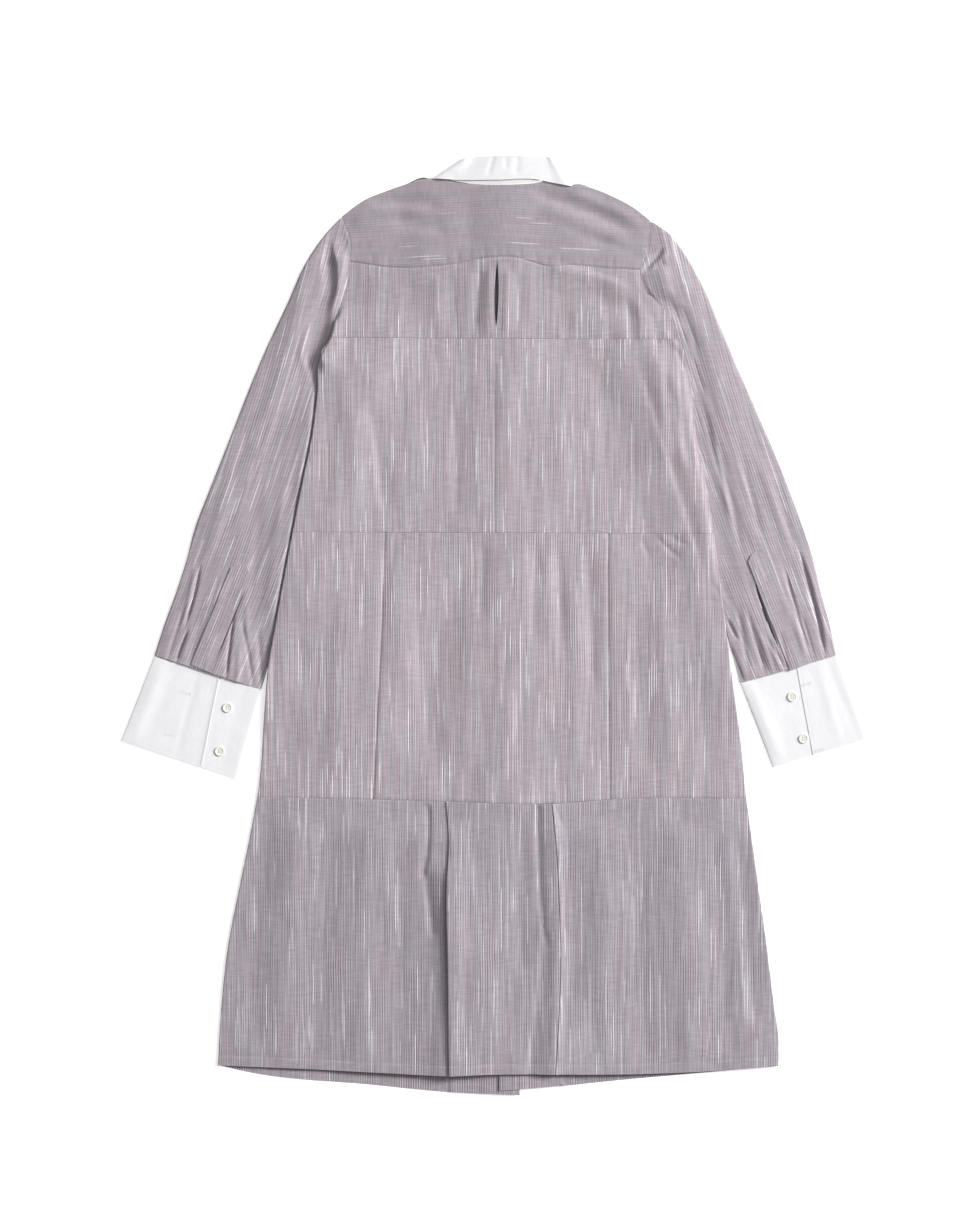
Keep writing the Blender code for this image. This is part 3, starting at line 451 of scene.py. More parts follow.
# %% Creases and waves of the fronts
FRONT_CREASES = table(
    "x_top x_hem y_top y_end width rise",
    (-130, -165, 420, -60, 11, 1.1), (-88, -104, 300, -480, 13, 0.9),
    (-150, -196, 120, -500, 12, 1.2), (-46, -52, 200, -380, 10, 0.8),
    (-214, -262, 20, -500, 12, 1.0), (70, 84, 400, 60, 10, 0.8),
    (120, 150, 380, -150, 12, 1.1), (96, 110, 40, -500, 12, 1.0),
    (170, 214, 200, -500, 13, 1.2), (222, 270, 60, -500, 11, 1.0),
)
FRONT_FOLD_RUN = 60.0


def slow_waves(rows, x, y):
    """Return the sum of a table's slow waves, each of which is crossed by another."""
    total = 0.0 * x
    for row in rows:
        wave = np.sin(x / row.x_run + y / row.y_run + row.start)
        cross = np.cos(y / row.y_cross + x / row.x_cross + row.cross_start)
        total = total + row.rise * wave * cross
    return total


def front_creases(x, y):
    """Return the soft rises of the fronts, which lie on the table between them."""
    total = 0.0 * x
    for crease in FRONT_CREASES:
        share = (crease.y_top - y) / (crease.y_top - crease.y_end)
        centre = mix(crease.x_top, crease.x_hem, share)
        from_top = ease((crease.y_top - y) / FRONT_FOLD_RUN)
        ends = from_top * ease((y - crease.y_end) / FRONT_FOLD_RUN)
        total = total + crease.rise * bell(x - centre, crease.width) * ends
    return total


print("creases of the fronts:", len(FRONT_CREASES))

# %% The fronts' hem, and how they lie on the table
FRONT_PLEAT_X = -51.5
FRONT_PLEAT_TOP_Y = -440.0
FRONT_PLEAT_RUN = 40.0
FRONT_PLEAT_SHARP = 1.0
FRONT_PLEAT_SOFT = 14.0
FRONT_PLEAT_RISE = 1.3
PUCKER_X = 79.0
PUCKER_Y = -529.0
PUCKER_TOP_Y = -511.0
PUCKER_RUN = 8.0
PUCKER_SLANT = -1.6
PUCKER_WIDTH = 2.2
CALM_EDGE = 7.0
UNDER_DRAPE = 0.35
UNDER_WAVES = table(
    "rise x_run y_run start y_cross x_cross cross_start", (1.0, 27, 210, 0.0, 71, -190, 0.0))


def edge_distance(x, y):
    """Return the distance of a point inside the body from its side edge."""
    return np.minimum(x - left_edge(y), right_edge(y) - x)


def front_pleat(x, y):
    """Return the small steps of the folds that show in the front's hem."""
    low = ease((FRONT_PLEAT_TOP_Y - y) / FRONT_PLEAT_RUN)
    width = np.where(x < FRONT_PLEAT_X, FRONT_PLEAT_SHARP, FRONT_PLEAT_SOFT)
    step = bell(x - FRONT_PLEAT_X, width)
    pucker = bell(x - PUCKER_X - (y - PUCKER_Y) * PUCKER_SLANT, PUCKER_WIDTH)
    pucker = pucker * ease((PUCKER_TOP_Y - y) / PUCKER_RUN)
    return FRONT_PLEAT_RISE * (step + pucker) * low


def under_drape(x, y):
    """Return the rise of the fronts off the table, which they touch in places."""
    wave = slow_waves(UNDER_WAVES, x, y)
    calm = ease(edge_distance(x, y) / CALM_EDGE)
    return (UNDER_DRAPE * (1 + wave) + front_creases(x, y)) * calm + front_pleat(x, y)


print("drape of a front in mm:", round(float(under_drape(-100.0, 0.0)), 2))

# %% The height of each layer
LAP_MIDDLE_X = 25.0
LAP_SPREAD = 60.0
LAP_START_X = 115.0
LAP_RUN = 75.0
TOUCH = 0.15
LAYER_GAP = SHELL + 0.1


def rest_on(height, below):
    """Return a height that never sinks below another, eased where the two touch."""
    return below + TOUCH * np.logaddexp(0.0, (height - below) / TOUCH)


def left_front_height(x, y):
    """Return the height of the left front, which lies on the floor."""
    return FLOOR_CLOTH + front_lift(x, y) + under_drape(x, y)


def right_front_height(x, y):
    """Return the height of the right front, which rises onto the left one."""
    over_left = LAP * ease((LAP_START_X - x) / LAP_RUN)
    return FLOOR_CLOTH + front_lift(x, y) + over_left + under_drape(x, y)


def front_below(x, y):
    """Return the height of the front that lies right under the back."""
    on_left = x < CLOSING_X - OVERLAP
    return np.where(on_left, left_front_height(x, y), right_front_height(x, y))


def back_base(x, y):
    """Return the height of the back without its folds."""
    over_fronts = LAP * bell(x - LAP_MIDDLE_X, LAP_SPREAD)
    air = mix(SIDE_AIR, BODY_AIR, ease(edge_distance(x, y) / AIR_RUN))
    return WALL / 2 + front_lift(x, y) + over_fronts + WALL + air


print("height of the back's middle in mm:", round(float(back_base(0.0, 0.0)), 2))

# %% [markdown]
# ## Creases of the back
# Cotton that has been worn and laid out keeps soft troughs and ridges. Each row of
# the table is one of them, placed from the photograph: where it starts and
# ends, how far it bows, how wide and how soft it is, and how much it rises or sinks.

# %% The main creases
CREASE_COLUMNS = "name x0 y0 x1 y1 bow width soft rise"
CREASES = table(
    CREASE_COLUMNS,
    ("yoke_left_hollow", -148, 484, -56, 481, 2, 5, 1.6, -1.8),
    ("yoke_left_rise", -146, 474, -75, 474, 2, 6, 1, 0.9),
    ("yoke_left_dip", -123, 467, -52, 452, 0, 7, 1.6, -1.5),
    ("yoke_left_shoulder", -164, 457, -114, 489, 3, 7, 1, 1),
    ("yoke_middle_dip", -29, 493, -31, 429, 0, 10, 1.2, -0.9),
    ("yoke_right_valley", 33, 501, 169, 446, 3, 6, 1.5, -2.3),
    ("yoke_right_ridge", 45, 482, 158, 435, 2, 8, 1, 1.1),
    ("yoke_right_second", 75, 459, 174, 422, 0, 6, 1.2, -1),
    ("yoke_right_shoulder", 77, 500, 171, 459, 3, 6, 1, 1.3),
    ("seam_ridge", 52, 413, 160, 384, 4, 10, 0.42, 2.1),
    ("below_seam_ridge", 105, 383, 167, 348, 3, 12, 0.8, -1.3),
    ("slit_left_trough", -17, 417, -23, 332, 0, 4.5, 1, -1.7),
    ("slit_left_ridge", -5.8, 417, -8.0, 325, 0, 4.5, 1, 1.4),
    ("slit_right_ridge", 13, 416, 14, 328, 0, 4.5, 1, 1.2),
    ("slit_right_trough", 24, 415, 30, 337, 0, 5, 1.4, -1.1),
    ("upper_left_one", -46, 408, -52, 331, 0, 6, 1.4, -1),
    ("upper_left_two", -67, 406, -68, 332, 0, 6, 1, 0.9),
    ("upper_left_three", -98, 404, -105, 328, 0, 8, 1.4, -0.9),
    ("upper_left_four", -135, 408, -141, 332, 0, 9, 1, 0.8),
    ("upper_right_one", 75, 391, 82, 330, 0, 9, 1.2, -0.9),
    ("upper_right_two", 125, 381, 135, 316, 0, 8, 1.2, -1.4),
    ("upper_right_three", 152, 381, 158, 319, 0, 5, 1.2, -1.6),
    ("upper_right_four", 167, 374, 172, 322, 0, 5, 1, 1),
    ("upper_right_five", 181, 360, 187, 317, 0, 2.6, 1.6, -1.3),
    ("armhole_right_short", 208, 319, 217, 292, 0, 2.4, 1.5, -1.3),
    ("armhole_right_ridge", 192, 339, 213, 314, 0, 4, 1, 0.9),
    ("bodice_right_ridge", 206, 322, 255, 24, 2, 21, 0.34, 3.6),
    ("bodice_right_fold", 184, 326, 199, 178, 0, 15, 0.42, 2.8),
    ("bodice_right_fold_two", 204, 308, 216, 168, 0, 12, 0.42, 2.4),
    ("bodice_right_valley", 162, 307, 247, 38, 1, 3, 3, -1.1),
    ("bodice_right_second", 199, 282, 224, 178, 0, 4, 1.5, -0.9),
    ("bodice_right_slope", 135, 316, 184, 178, 2, 18, 1, 1.1),
    ("bodice_right_dip", 116, 305, 135, 121, 2, 10, 1.3, -0.9),
    ("under_arm_bulge", -177, 376, -202, 284, 2, 13, 1, 4.6),
    ("bodice_left_valley", -141, 256, -123, 118, -2, 5, 2.6, -1.9),
    ("bodice_left_ridge", -164, 282, -158, 75, 0, 10, 1, 1.4),
    ("bodice_left_side", -186, 261, -209, 68, 2, 10, 1.3, -1.4),
    ("bodice_left_second", -98, 316, -90, 178, 0, 10, 1, 0.9),
    ("waist_left_trough", -46, 268, -44, 114, 0, 5, 1.5, -1.2),
    ("bodice_centre_ridge", -22, 314, -18, 115, 0, 9, 1, 0.8),
    ("bodice_centre_trough", 31, 314, 37, 126, 0, 8, 1.5, -0.9),
    ("bodice_centre_right", 75, 314, 82, 121, 0, 12, 1, 0.8),
    ("waist_wrinkle_one", 184, 102, 215, 74, -1, 2, 1.5, -1.1),
    ("waist_wrinkle_two", 167, 100, 178, 75, 0, 2.6, 1.5, -0.8),
    ("waist_wrinkle_three", 199, 102, 224, 89, 0, 2, 1.5, -0.8),
    ("side_crease_one", 252, 71, 263, 43, 0, 2.4, 1.3, -1.1),
    ("side_crease_two", 250, 47, 267, 22, 0, 2.6, 1.3, -1),
    ("skirt_left_trough", -124, 98, -133, -75, 0, 4, 2, -1.4),
    ("skirt_left_side", -221, 46, -243, -192, 3, 13, 1.2, -1.6),
    ("skirt_left_ridge", -172, 57, -185, -195, 0, 16, 1, 1.6),
    ("skirt_left_inner", -103, 75, -105, -86, 0, 9, 1, 1),
    ("skirt_left_slope", -122, 90, -118, -192, 0, 88, 0.3, 2.8),
    ("skirt_middle_left", -67, 29, -77, -190, 0, 15, 1, -1.3),
    ("skirt_centre_trough", -14, 102, -16, 1.1, 0, 4, 1.5, -1.4),
    ("skirt_centre_ridge", -29, 57, -31, -192, 0, 13, 1, 1.3),
    ("skirt_fold_one", 47, 101, 44, -29, 0, 3.6, 1.8, -1.4),
    ("skirt_fold_two", 71, 101, 77, -49, 0, 4.2, 1.8, -1.5),
    ("skirt_fold_ridge", 59, 98, 61, -40, 0, 4.5, 1, 0.9),
    ("skirt_fold_three", 107, 100, 112, -89, 0, 5, 1.6, -1.7),
    ("skirt_right_ridge", 92, 75, 95, -192, 0, 9, 1, 1.3),
    ("skirt_lower_trough", 29, -29, 33, -192, 0, 12, 1.2, -1.1),
    ("skirt_right_trough", 160, 40, 172, -187, 0, 11, 1.4, -1.5),
    ("skirt_right_inner", 190, 75, 204, -192, 0, 12, 1, 1.3),
    ("skirt_right_side", 229, 29, 247, -192, 0, 11, 1.4, -1.4),
)
print("creases of the back:", len(CREASES))

# %% The main creases of the flounce
FLOUNCE_CREASES = table(
    CREASE_COLUMNS,
    ("left_side_trough", -261, -215, -284, -489, 0, 10, 1.2, -1.5),
    ("left_ridge", -229, -215, -245, -514, 0, 15, 1, 1.7),
    ("left_trough", -190, -215, -204, -514, 0, 13, 1.2, -1.5),
    ("left_inner_ridge", -148, -215, -153, -515, 0, 14, 1, 1.4),
    ("left_inner_trough", -109, -215, -109, -515, 0, 9, 1.2, -1.2),
    ("pleat_side_fold", -76.5, -203, -82, -292, 3, 4.5, 0.4, -2.4),
    ("pleat_side_shade", -81.5, -283, -72, -360, 0, 2.4, 3, -1.9),
    ("pleat_side_rise", -56, -262, -54, -545, 0, 17, 1.6, 3.3),
    ("left_slope", -57, -215, -56, -560, 0, 120, 0.3, 3.6),
    ("right_slope", 92, -215, 92, -560, 0, 60, 2.2, 2.4),
    ("right_underlay", 48, -196, 57, -372, -3, 1.3, 3.6, -2.1),
    ("right_underlay_end", 58, -350, 36, -530, 0, 2.2, 4, -1.2),
    ("right_pleat_ridge", 64, -180, 65, -545, 8, 14, 0.42, 3.3),
    ("ridge_slant", 68, -206, 79, -234, 0, 2, 1.0, -1.0),
    ("centre_left_trough", -29, -215, -31, -514, 0, 11, 1.2, -1.2),
    ("centre_ridge", 0, -215, 2.3, -514, 0, 13, 1, 1.2),
    ("centre_right_trough", 29, -215, 30, -408, 0, 8, 1.3, -1.4),
    ("right_pleat_slope", 82, -208, 89, -443, 3, 8, 2, -1.4),
    ("right_ridge", 123, -215, 128, -514, 0, 13, 1, 1.5),
    ("right_trough", 162, -215, 172, -512, 0, 13, 1.2, -1.5),
    ("right_far_ridge", 213, -215, 227, -509, 0, 16, 1, 1.7),
    ("right_far_trough", 250, -215, 270, -505, 0, 10, 1.2, -1.3),
    ("right_edge_trough", 278, -236, 300, -466, 0, 7, 1.3, -1.8),
)
print("creases of the flounce:", len(FLOUNCE_CREASES))

# %% The back's height with its creases
CREASE_FADE = 0.22
FLOUNCE_FADE = 0.1
BULGE_TOP_Y = 356.0
BULGE_END_Y = 296.0
BULGE_RUN = 10.0
CALM_AT_BULGE = 2.2
RIB_PLACES = (-141, -123, -75, -56, -43, -29, -12, 2, 13, 29, 48, 60, 75, 98, 112, 135)
RIB_LENGTH = 17.0
RIB_WIDTH = 2.2
RIB_RISE = -0.55
RIB_ONSET = 5.0
RIB_FADE = 0.7
DRAPE_WAVES = table(
    "rise x_run y_run start y_cross x_cross cross_start",
    (0.45, 31, 190, 0.4, 84, np.inf, 1.3), (0.28, 13.5, -120, 2.0, 47, 160, 0.0),
)


def crease_height(creases, x, y, fade=CREASE_FADE):
    """Return how far a table's creases raise the cloth at a point."""
    total = 0.0 * x
    for crease in creases:
        aside, along = beside(crease, x, y)
        width = np.where(aside < 0, crease.width, crease.width * crease.soft)
        ends = ease(along / fade) * ease((1 - along) / fade)
        total = total + crease.rise * bell(aside, width) * ends
    return total


def calm_reach(x, y):
    """Return how far from its side the back is calm: less where the armhole bulges."""
    bulge = ease((BULGE_TOP_Y - y) / BULGE_RUN) * ease((y - BULGE_END_Y) / BULGE_RUN)
    return mix(CALM_EDGE, CALM_AT_BULGE, bulge * (x < CLOSING_X))


def back_height(x, y):
    """Return the height of the back with its creases, which end before its sides."""
    calm = ease(edge_distance(x, y) / calm_reach(x, y))
    folds = crease_height(CREASES, x, y) + slow_waves(DRAPE_WAVES, x, y)
    return rest_on(back_base(x, y) + folds * calm, front_below(x, y) + LAYER_GAP)


def yoke_height(x, y):
    """Return the height of the yoke, with the ribs that its seam makes above it."""
    up = (y - yoke_seam(x)) / RIB_LENGTH
    fade = ease(up * RIB_ONSET) * ease((1 - up) / RIB_FADE)
    ribs = sum(bell(x - place, RIB_WIDTH) for place in RIB_PLACES)
    return back_height(x, y) + RIB_RISE * ribs * fade


def flounce_height(x, y):
    """Return the height of the flounce with its creases."""
    calm = ease(edge_distance(x, y) / CALM_EDGE)
    folds = crease_height(FLOUNCE_CREASES, x, y, FLOUNCE_FADE) + slow_waves(DRAPE_WAVES, x, y)
    return rest_on(back_base(x, y) + folds * calm, front_below(x, y) + LAYER_GAP)


print("height at the waist in mm:", round(float(back_height(0.0, 100.0)), 2))

# %% [markdown]
# ## Yarn and weave
# The cloth is a light shirting. Its warp yarns are grey, mauve and white, spun
# unevenly, so that each keeps its tone for a few centimetres and then fades: the
# white ones are slubs. A paper pattern would be printed flat, and so the finish
# reads the piece's own UV map, which is its cut in metres, with the warp along V.

# %% Numbers in a shader tree
MIDDLE = (0.3, 0.7)


def add_node(tree, kind, **settings):
    """Add a node to a tree and set it up."""
    made = tree.nodes.new(kind)
    for name, value in settings.items():
        setattr(made, name, value)
    return made


def feed(tree, socket, value):
    """Link a socket to another, or give it a number."""
    if isinstance(value, bpy.types.NodeSocket):
        tree.links.new(value, socket)
    else:
        socket.default_value = value


def maths(tree, operation, *values):
    """Return the outcome of one sum on sockets or numbers."""
    made = add_node(tree, "ShaderNodeMath", operation=operation)
    for socket, value in zip(made.inputs, values):
        feed(tree, socket, value)
    return made.outputs[0]


def join_xy(tree, x, y):
    """Return a vector made of two numbers."""
    made = add_node(tree, "ShaderNodeCombineXYZ")
    feed(tree, made.inputs[0], x)
    feed(tree, made.inputs[1], y)
    return made.outputs[0]


def in_spans(tree, across, along, spans):
    """Return the place on the cloth, counted in spans of this many mm each way."""
    parts = [maths(tree, "DIVIDE", *pair) for pair in zip((across, along), spans)]
    return join_xy(tree, *parts)


def noise(tree, place, detail=1.0):
    """Return smooth noise from 0 to 1 at a place."""
    made = add_node(tree, "ShaderNodeTexNoise", noise_dimensions="2D")
    feed(tree, made.inputs["Vector"], place)
    set_sockets(made, {"Scale": 1.0, "Detail": detail, "Roughness": 0.5})
    return made.outputs["Fac"]


def remap(tree, value, low, high, to_low, to_high):
    """Return a value moved from one range to another and held inside it."""
    made = add_node(tree, "ShaderNodeMapRange")
    made.clamp = True
    for socket, number in zip(made.inputs, (value, low, high, to_low, to_high)):
        feed(tree, socket, number)
    return made.outputs["Result"]


def number_of(tree, place, width):
    """Return the number of the yarn that a place lies in, for yarns of one width."""
    return maths(tree, "FLOOR", maths(tree, "DIVIDE", place, width))


print("noise lies mostly between", *MIDDLE)

# %% Colours and relief in a shader tree


def linear(value):
    """Return the linear value of an 8-bit screen value."""
    share = value / 255
    if share <= 0.04045:
        return share / 12.92
    return ((share + 0.055) / 1.055) ** 2.4


def screen(red, green, blue):
    """Return the linear colour of a screen colour."""
    return (linear(red), linear(green), linear(blue), 1.0)


def ramp(tree, value, stops):
    """Return the colour of a value on a ramp of (place, colour) stops."""
    made = add_node(tree, "ShaderNodeValToRGB")
    elements = made.color_ramp.elements
    while len(elements) < len(stops):
        elements.new(1.0)
    for element, (place, colour) in zip(elements, stops):
        element.position = place
        element.color = colour
    feed(tree, made.inputs[0], value)
    return made.outputs["Color"]


def blend_colours(tree, mode, share, first, second):
    """Return two colours mixed in one of the blend modes."""
    made = add_node(tree, "ShaderNodeMix", data_type="RGBA", blend_type=mode)
    made.clamp_factor = True
    feed(tree, made.inputs["Factor"], share)
    for socket, value in ((made.inputs[6], first), (made.inputs[7], second)):
        feed(tree, socket, value)
    return made.outputs[2]


def grey(tree, value):
    """Return a number as a colour of equal parts."""
    made = add_node(tree, "ShaderNodeCombineColor")
    for socket in made.inputs[:3]:
        feed(tree, socket, value)
    return made.outputs[0]


def raise_relief(tree, shader, height, strength, depth):
    """Give a shader the fine relief of a height, depth mm deep, as a bump."""
    bump = add_node(tree, "ShaderNodeBump")
    set_sockets(bump, {"Strength": strength, "Distance": depth * MM})
    tree.links.new(height, bump.inputs["Height"])
    tree.links.new(bump.outputs[0], shader.inputs["Normal"])


print("a mid grey on the screen is", round(linear(128), 3), "in linear light")

# %% Place and weave on the cut cloth
CUT = "cut"
TURN = 2 * np.pi


def cut_in_mm(tree):
    """Return the place on the cut piece, across and along its warp, in mm."""
    place = add_node(tree, "ShaderNodeUVMap", uv_map=CUT)
    parts = add_node(tree, "ShaderNodeSeparateXYZ")
    tree.links.new(place.outputs[0], parts.inputs[0])
    return [maths(tree, "MULTIPLY", part, 1 / MM) for part in parts.outputs[:2]]


def wave_of(tree, place, pitch):
    """Return a wave from -1 to 1 with a pitch in mm."""
    return maths(tree, "SINE", maths(tree, "MULTIPLY", place, TURN / pitch))


def above_zero(tree, wave):
    """Return a wave moved into the range from 0 to 1."""
    return maths(tree, "MULTIPLY_ADD", wave, 0.5, 0.5)


def weave_height(tree, across, along, pitch):
    """Return the fine over-and-under of a plain weave, from 0 to 1."""
    warp = wave_of(tree, across, pitch)
    weft = wave_of(tree, along, pitch)
    return above_zero(tree, maths(tree, "MULTIPLY", warp, weft))


print("the cut is kept in the UV map:", CUT)

# %% Striped shirting
STRIPE_PITCH = 2.8
YARN_WIDTH = 1.3
YARN_RUN = 75.0
YARN_STRIDE = 3.71
WARP_TONES = (
    (0.28, screen(163, 153, 160)),
    (0.50, screen(176, 166, 173)),
    (0.70, screen(186, 178, 184)),
)
WARP_MEAN = screen(175, 166, 172)
SLUB_WIDTH = 0.85
SLUB_RUN = 130.0
SLUB_TONE = screen(225, 221, 225)
SLUB_SHARE = (0.7, 0.745)
SLUB_SEED = 5.3
QUIET_SHIFT = 0.1
WEFT_WIDTH = 1.2
WEFT_RUN = 15.0
WEFT_STRIDE = 2.93
WEFT_TONE = 0.075


def yarn_noise(tree, across, along, width, run, seed):
    """Return noise that is even across each yarn and changes slowly along it."""
    yarn = number_of(tree, across, width)
    yarn_place = maths(tree, "MULTIPLY_ADD", yarn, YARN_STRIDE, seed)
    return noise(tree, join_xy(tree, yarn_place, maths(tree, "DIVIDE", along, run)))


def weft_shade(tree, across, along):
    """Return how much lighter or darker each weft yarn is than the mean."""
    weft = number_of(tree, along, WEFT_WIDTH)
    place = join_xy(tree, maths(tree, "DIVIDE", across, WEFT_RUN),
                    maths(tree, "MULTIPLY", weft, WEFT_STRIDE))
    return remap(tree, noise(tree, place), *MIDDLE, -WEFT_TONE, WEFT_TONE)


print("stripes in 100 mm:", round(100 / STRIPE_PITCH))

# %% The finish of the striped shirting
WANDER = (0.2, 0.8, -0.35, 0.35)
WANDER_SPANS = (60.0, 45.0)
HUE = (0.35, 0.65, 0.0, 1.0)
HUE_STOPS = ((0.0, (0.972, 0.992, 1.0, 1.0)), (1.0, (1.0, 0.968, 0.975, 1.0)))
HUE_SPANS = (5.0, 110.0)
PATCH = (0.36, 0.66, 0.15, 1.0)
PATCH_SPANS = (26.0, 60.0)
WEAVE_PITCH = 0.55
WEAVE_SHARE = 0.25
COTTON_RELIEF = (0.7, 0.16)
COTTON_ROUGHNESS = (0.92, 0.8)


def striped_cloth(name, tone_and_shade, stripes, seed, quiet):
    """Return the striped shirting in one piece's tone, which holds some painted shade; a quiet one has
    even yarns.
    """
    material, tree, shader = new_finish(name, {
        "Specular IOR Level": 0.25, "Sheen Weight": 0.06, "Sheen Roughness": 0.5})
    across, along = cut_in_mm(tree)
    wander = noise(tree, in_spans(tree, across, along, WANDER_SPANS))
    across = maths(tree, "ADD", across, remap(tree, wander, *WANDER))

    tone = yarn_noise(tree, across, along, YARN_WIDTH, YARN_RUN, seed)
    colour = blend_colours(tree, "MIX", quiet, ramp(tree, tone, WARP_TONES), WARP_MEAN)
    slub = yarn_noise(tree, across, along, SLUB_WIDTH, SLUB_RUN, seed + SLUB_SEED)
    first, full = (share + quiet * QUIET_SHIFT for share in SLUB_SHARE)
    slub = remap(tree, slub, first, full, 0.0, 1.0)
    colour = blend_colours(tree, "MIX", slub, colour, SLUB_TONE)

    hue = remap(tree, noise(tree, in_spans(tree, across, along, HUE_SPANS)), *HUE)
    colour = blend_colours(tree, "MULTIPLY", 1.0, colour, ramp(tree, hue, HUE_STOPS))
    patch = noise(tree, in_spans(tree, across, along, PATCH_SPANS), 2.0)
    patch = remap(tree, patch, *PATCH)
    pin = wave_of(tree, across, STRIPE_PITCH)
    pin_share = maths(tree, "MULTIPLY", maths(tree, "MULTIPLY", pin, patch), stripes)
    shade = maths(tree, "ADD", pin_share, weft_shade(tree, across, along))
    shade = grey(tree, maths(tree, "ADD", shade, 1.0))
    # The stripes and weft are the cloth's own; the piece's tint is partly its tone and partly painted
    # shade.
    for share in (shade, (*tone_and_shade, 1.0)):
        colour = blend_colours(tree, "MULTIPLY", 1.0, colour, share)
    tree.links.new(colour, shader.inputs["Base Color"])

    ribs = maths(tree, "MULTIPLY", above_zero(tree, pin), patch)
    weave = weave_height(tree, across, along, WEAVE_PITCH)
    height = maths(tree, "ADD", maths(tree, "MULTIPLY", weave, WEAVE_SHARE), ribs)
    raise_relief(tree, shader, height, *COTTON_RELIEF)
    tree.links.new(remap(tree, tone, *MIDDLE, *COTTON_ROUGHNESS), shader.inputs["Roughness"])
    return material


print("weave threads in 10 mm:", round(10 / WEAVE_PITCH))

# %% White poplin
POPLIN_PITCH = 0.45
POPLIN_STRIDE = 2.3
POPLIN_RUN = 12.0
POPLIN_SHADES = (0.97, 1.02)
POPLIN_WEAVE = 0.3
POPLIN_RELIEF = (0.6, 0.12)
POPLIN_ROUGHNESS = (0.72, 0.85)
CLOUD_SPANS = (24.0, 34.0)
CLOUD_SHADES = (0.98, 1.01)
CRUMPLE = 6.0


def white_cloth(name, base):
    """Return the white poplin of the collar and cuffs, faintly clouded and crumpled."""
    material, tree, shader = new_finish(name, {"Specular IOR Level": 0.3, "Sheen Weight": 0.05})
    across, along = cut_in_mm(tree)
    cloud = noise(tree, in_spans(tree, across, along, CLOUD_SPANS), 3.0)
    yarn = number_of(tree, across, POPLIN_PITCH)
    yarn_place = join_xy(tree, maths(tree, "MULTIPLY", yarn, POPLIN_STRIDE),
                         maths(tree, "DIVIDE", along, POPLIN_RUN))
    shade = remap(tree, noise(tree, yarn_place), *MIDDLE, *POPLIN_SHADES)
    shade = maths(tree, "MULTIPLY", shade, remap(tree, cloud, *MIDDLE, *CLOUD_SHADES))
    colour = blend_colours(tree, "MULTIPLY", 1.0, base, grey(tree, shade))
    tree.links.new(colour, shader.inputs["Base Color"])
    weave = weave_height(tree, across, along, POPLIN_PITCH)
    weave = maths(tree, "MULTIPLY", weave, POPLIN_WEAVE)
    crumple = maths(tree, "MULTIPLY_ADD", cloud, CRUMPLE, weave)
    raise_relief(tree, shader, crumple, *POPLIN_RELIEF)
    tree.links.new(remap(tree, cloud, *MIDDLE, *POPLIN_ROUGHNESS), shader.inputs["Roughness"])
    return material


poplin = white_cloth("poplin_white", screen(237, 237, 240))
poplin_stand = white_cloth("poplin_stand", screen(232, 228, 225))
print("white finishes:", poplin.name, poplin_stand.name)

# %% Sewing thread
TWIST_SCALE = 900.0
TWIST_SHADE = 0.8


def thread_finish(name, base):
    """Return sewing thread with its twist, which reads the object's own place."""
    material, tree, shader = new_finish(name, {"Roughness": 0.6})
    place = add_node(tree, "ShaderNodeTexCoord")
    waves = add_node(tree, "ShaderNodeTexWave", bands_direction="DIAGONAL")
    waves.inputs["Scale"].default_value = TWIST_SCALE
    tree.links.new(place.outputs["Object"], waves.inputs["Vector"])
    darker = tuple(TWIST_SHADE * part for part in base[:3])
    colour = ramp(tree, waves.outputs["Fac"], ((0.0, (*darker, 1.0)), (0.6, base)))
    tree.links.new(colour, shader.inputs["Base Color"])
    return material


grey_thread = thread_finish("thread_grey", screen(186, 178, 184))
white_thread = thread_finish("thread_white", screen(240, 240, 240))
print("threads:", grey_thread.name, white_thread.name)

# %% The tones of the pieces, partly painted shade
# Each tint is partly the cloth's own tone and partly painted shade: the left sleeve and the flounce
# lie more in shade, so they are painted darker than the right sleeve and the body.
TONES_AND_PAINTED_SHADE = {
    "yoke": (0.865, 0.86, 0.875),
    "upper": (0.92, 0.92, 0.92),
    "back": (0.985, 0.985, 0.985),
    "skirt": (0.965, 0.965, 0.965),
    "flounce": (0.847, 0.857, 0.867),
    "front": (0.84, 0.84, 0.85),
    "sleeve_left": (0.92, 0.915, 0.92),
    "sleeve_right": (0.97, 0.97, 0.97),
}
STRIPES = {"yoke": 0.05, "upper": 0.17, "skirt": 0.27, "flounce": 0.32, "front": 0.5}
USUAL_STRIPES = 0.2
QUIET = {"yoke": 0.6}
SEED_STRIDE = 13.7
shirting = {}
for number, (part, tone_and_shade) in enumerate(TONES_AND_PAINTED_SHADE.items()):
    shirting[part] = striped_cloth(
        "shirting_" + part, tone_and_shade, STRIPES.get(part, USUAL_STRIPES), SEED_STRIDE * number,
        QUIET.get(part, 0.0))
print("tones of the shirting:", len(shirting))

# %% [markdown]
# ## From a pattern piece to cloth
# A sheet of cloth is a grid whose points are moved to their places. It starts as
# a plain grid primitive, keeps its cut as a UV map, and gets its thickness from a
# Solidify modifier. Lines lie closer together beside a seam, where the cloth
# dips towards the stitches.

# %% Make a cloth piece
SMOOTH_ANGLE = np.radians(55)
made_pieces = []
grids = {}


def cut_open(piece, row, column, slit):
    """Delete the faces of a grid whose row and column the slit names."""
    bpy.ops.object.mode_set(mode="EDIT")
    bpy.ops.mesh.select_all(action="DESELECT")
    bpy.ops.object.mode_set(mode="OBJECT")
    corner = np.array([face.vertices[:] for face in piece.data.polygons])
    chosen = slit[row[corner].min(axis=1), column[corner].min(axis=1)]
    piece.data.polygons.foreach_set("select", chosen)
    bpy.ops.object.mode_set(mode="EDIT")
    bpy.ops.mesh.select_mode(type="FACE")
    bpy.ops.mesh.delete(type="FACE")
    bpy.ops.object.mode_set(mode="OBJECT")


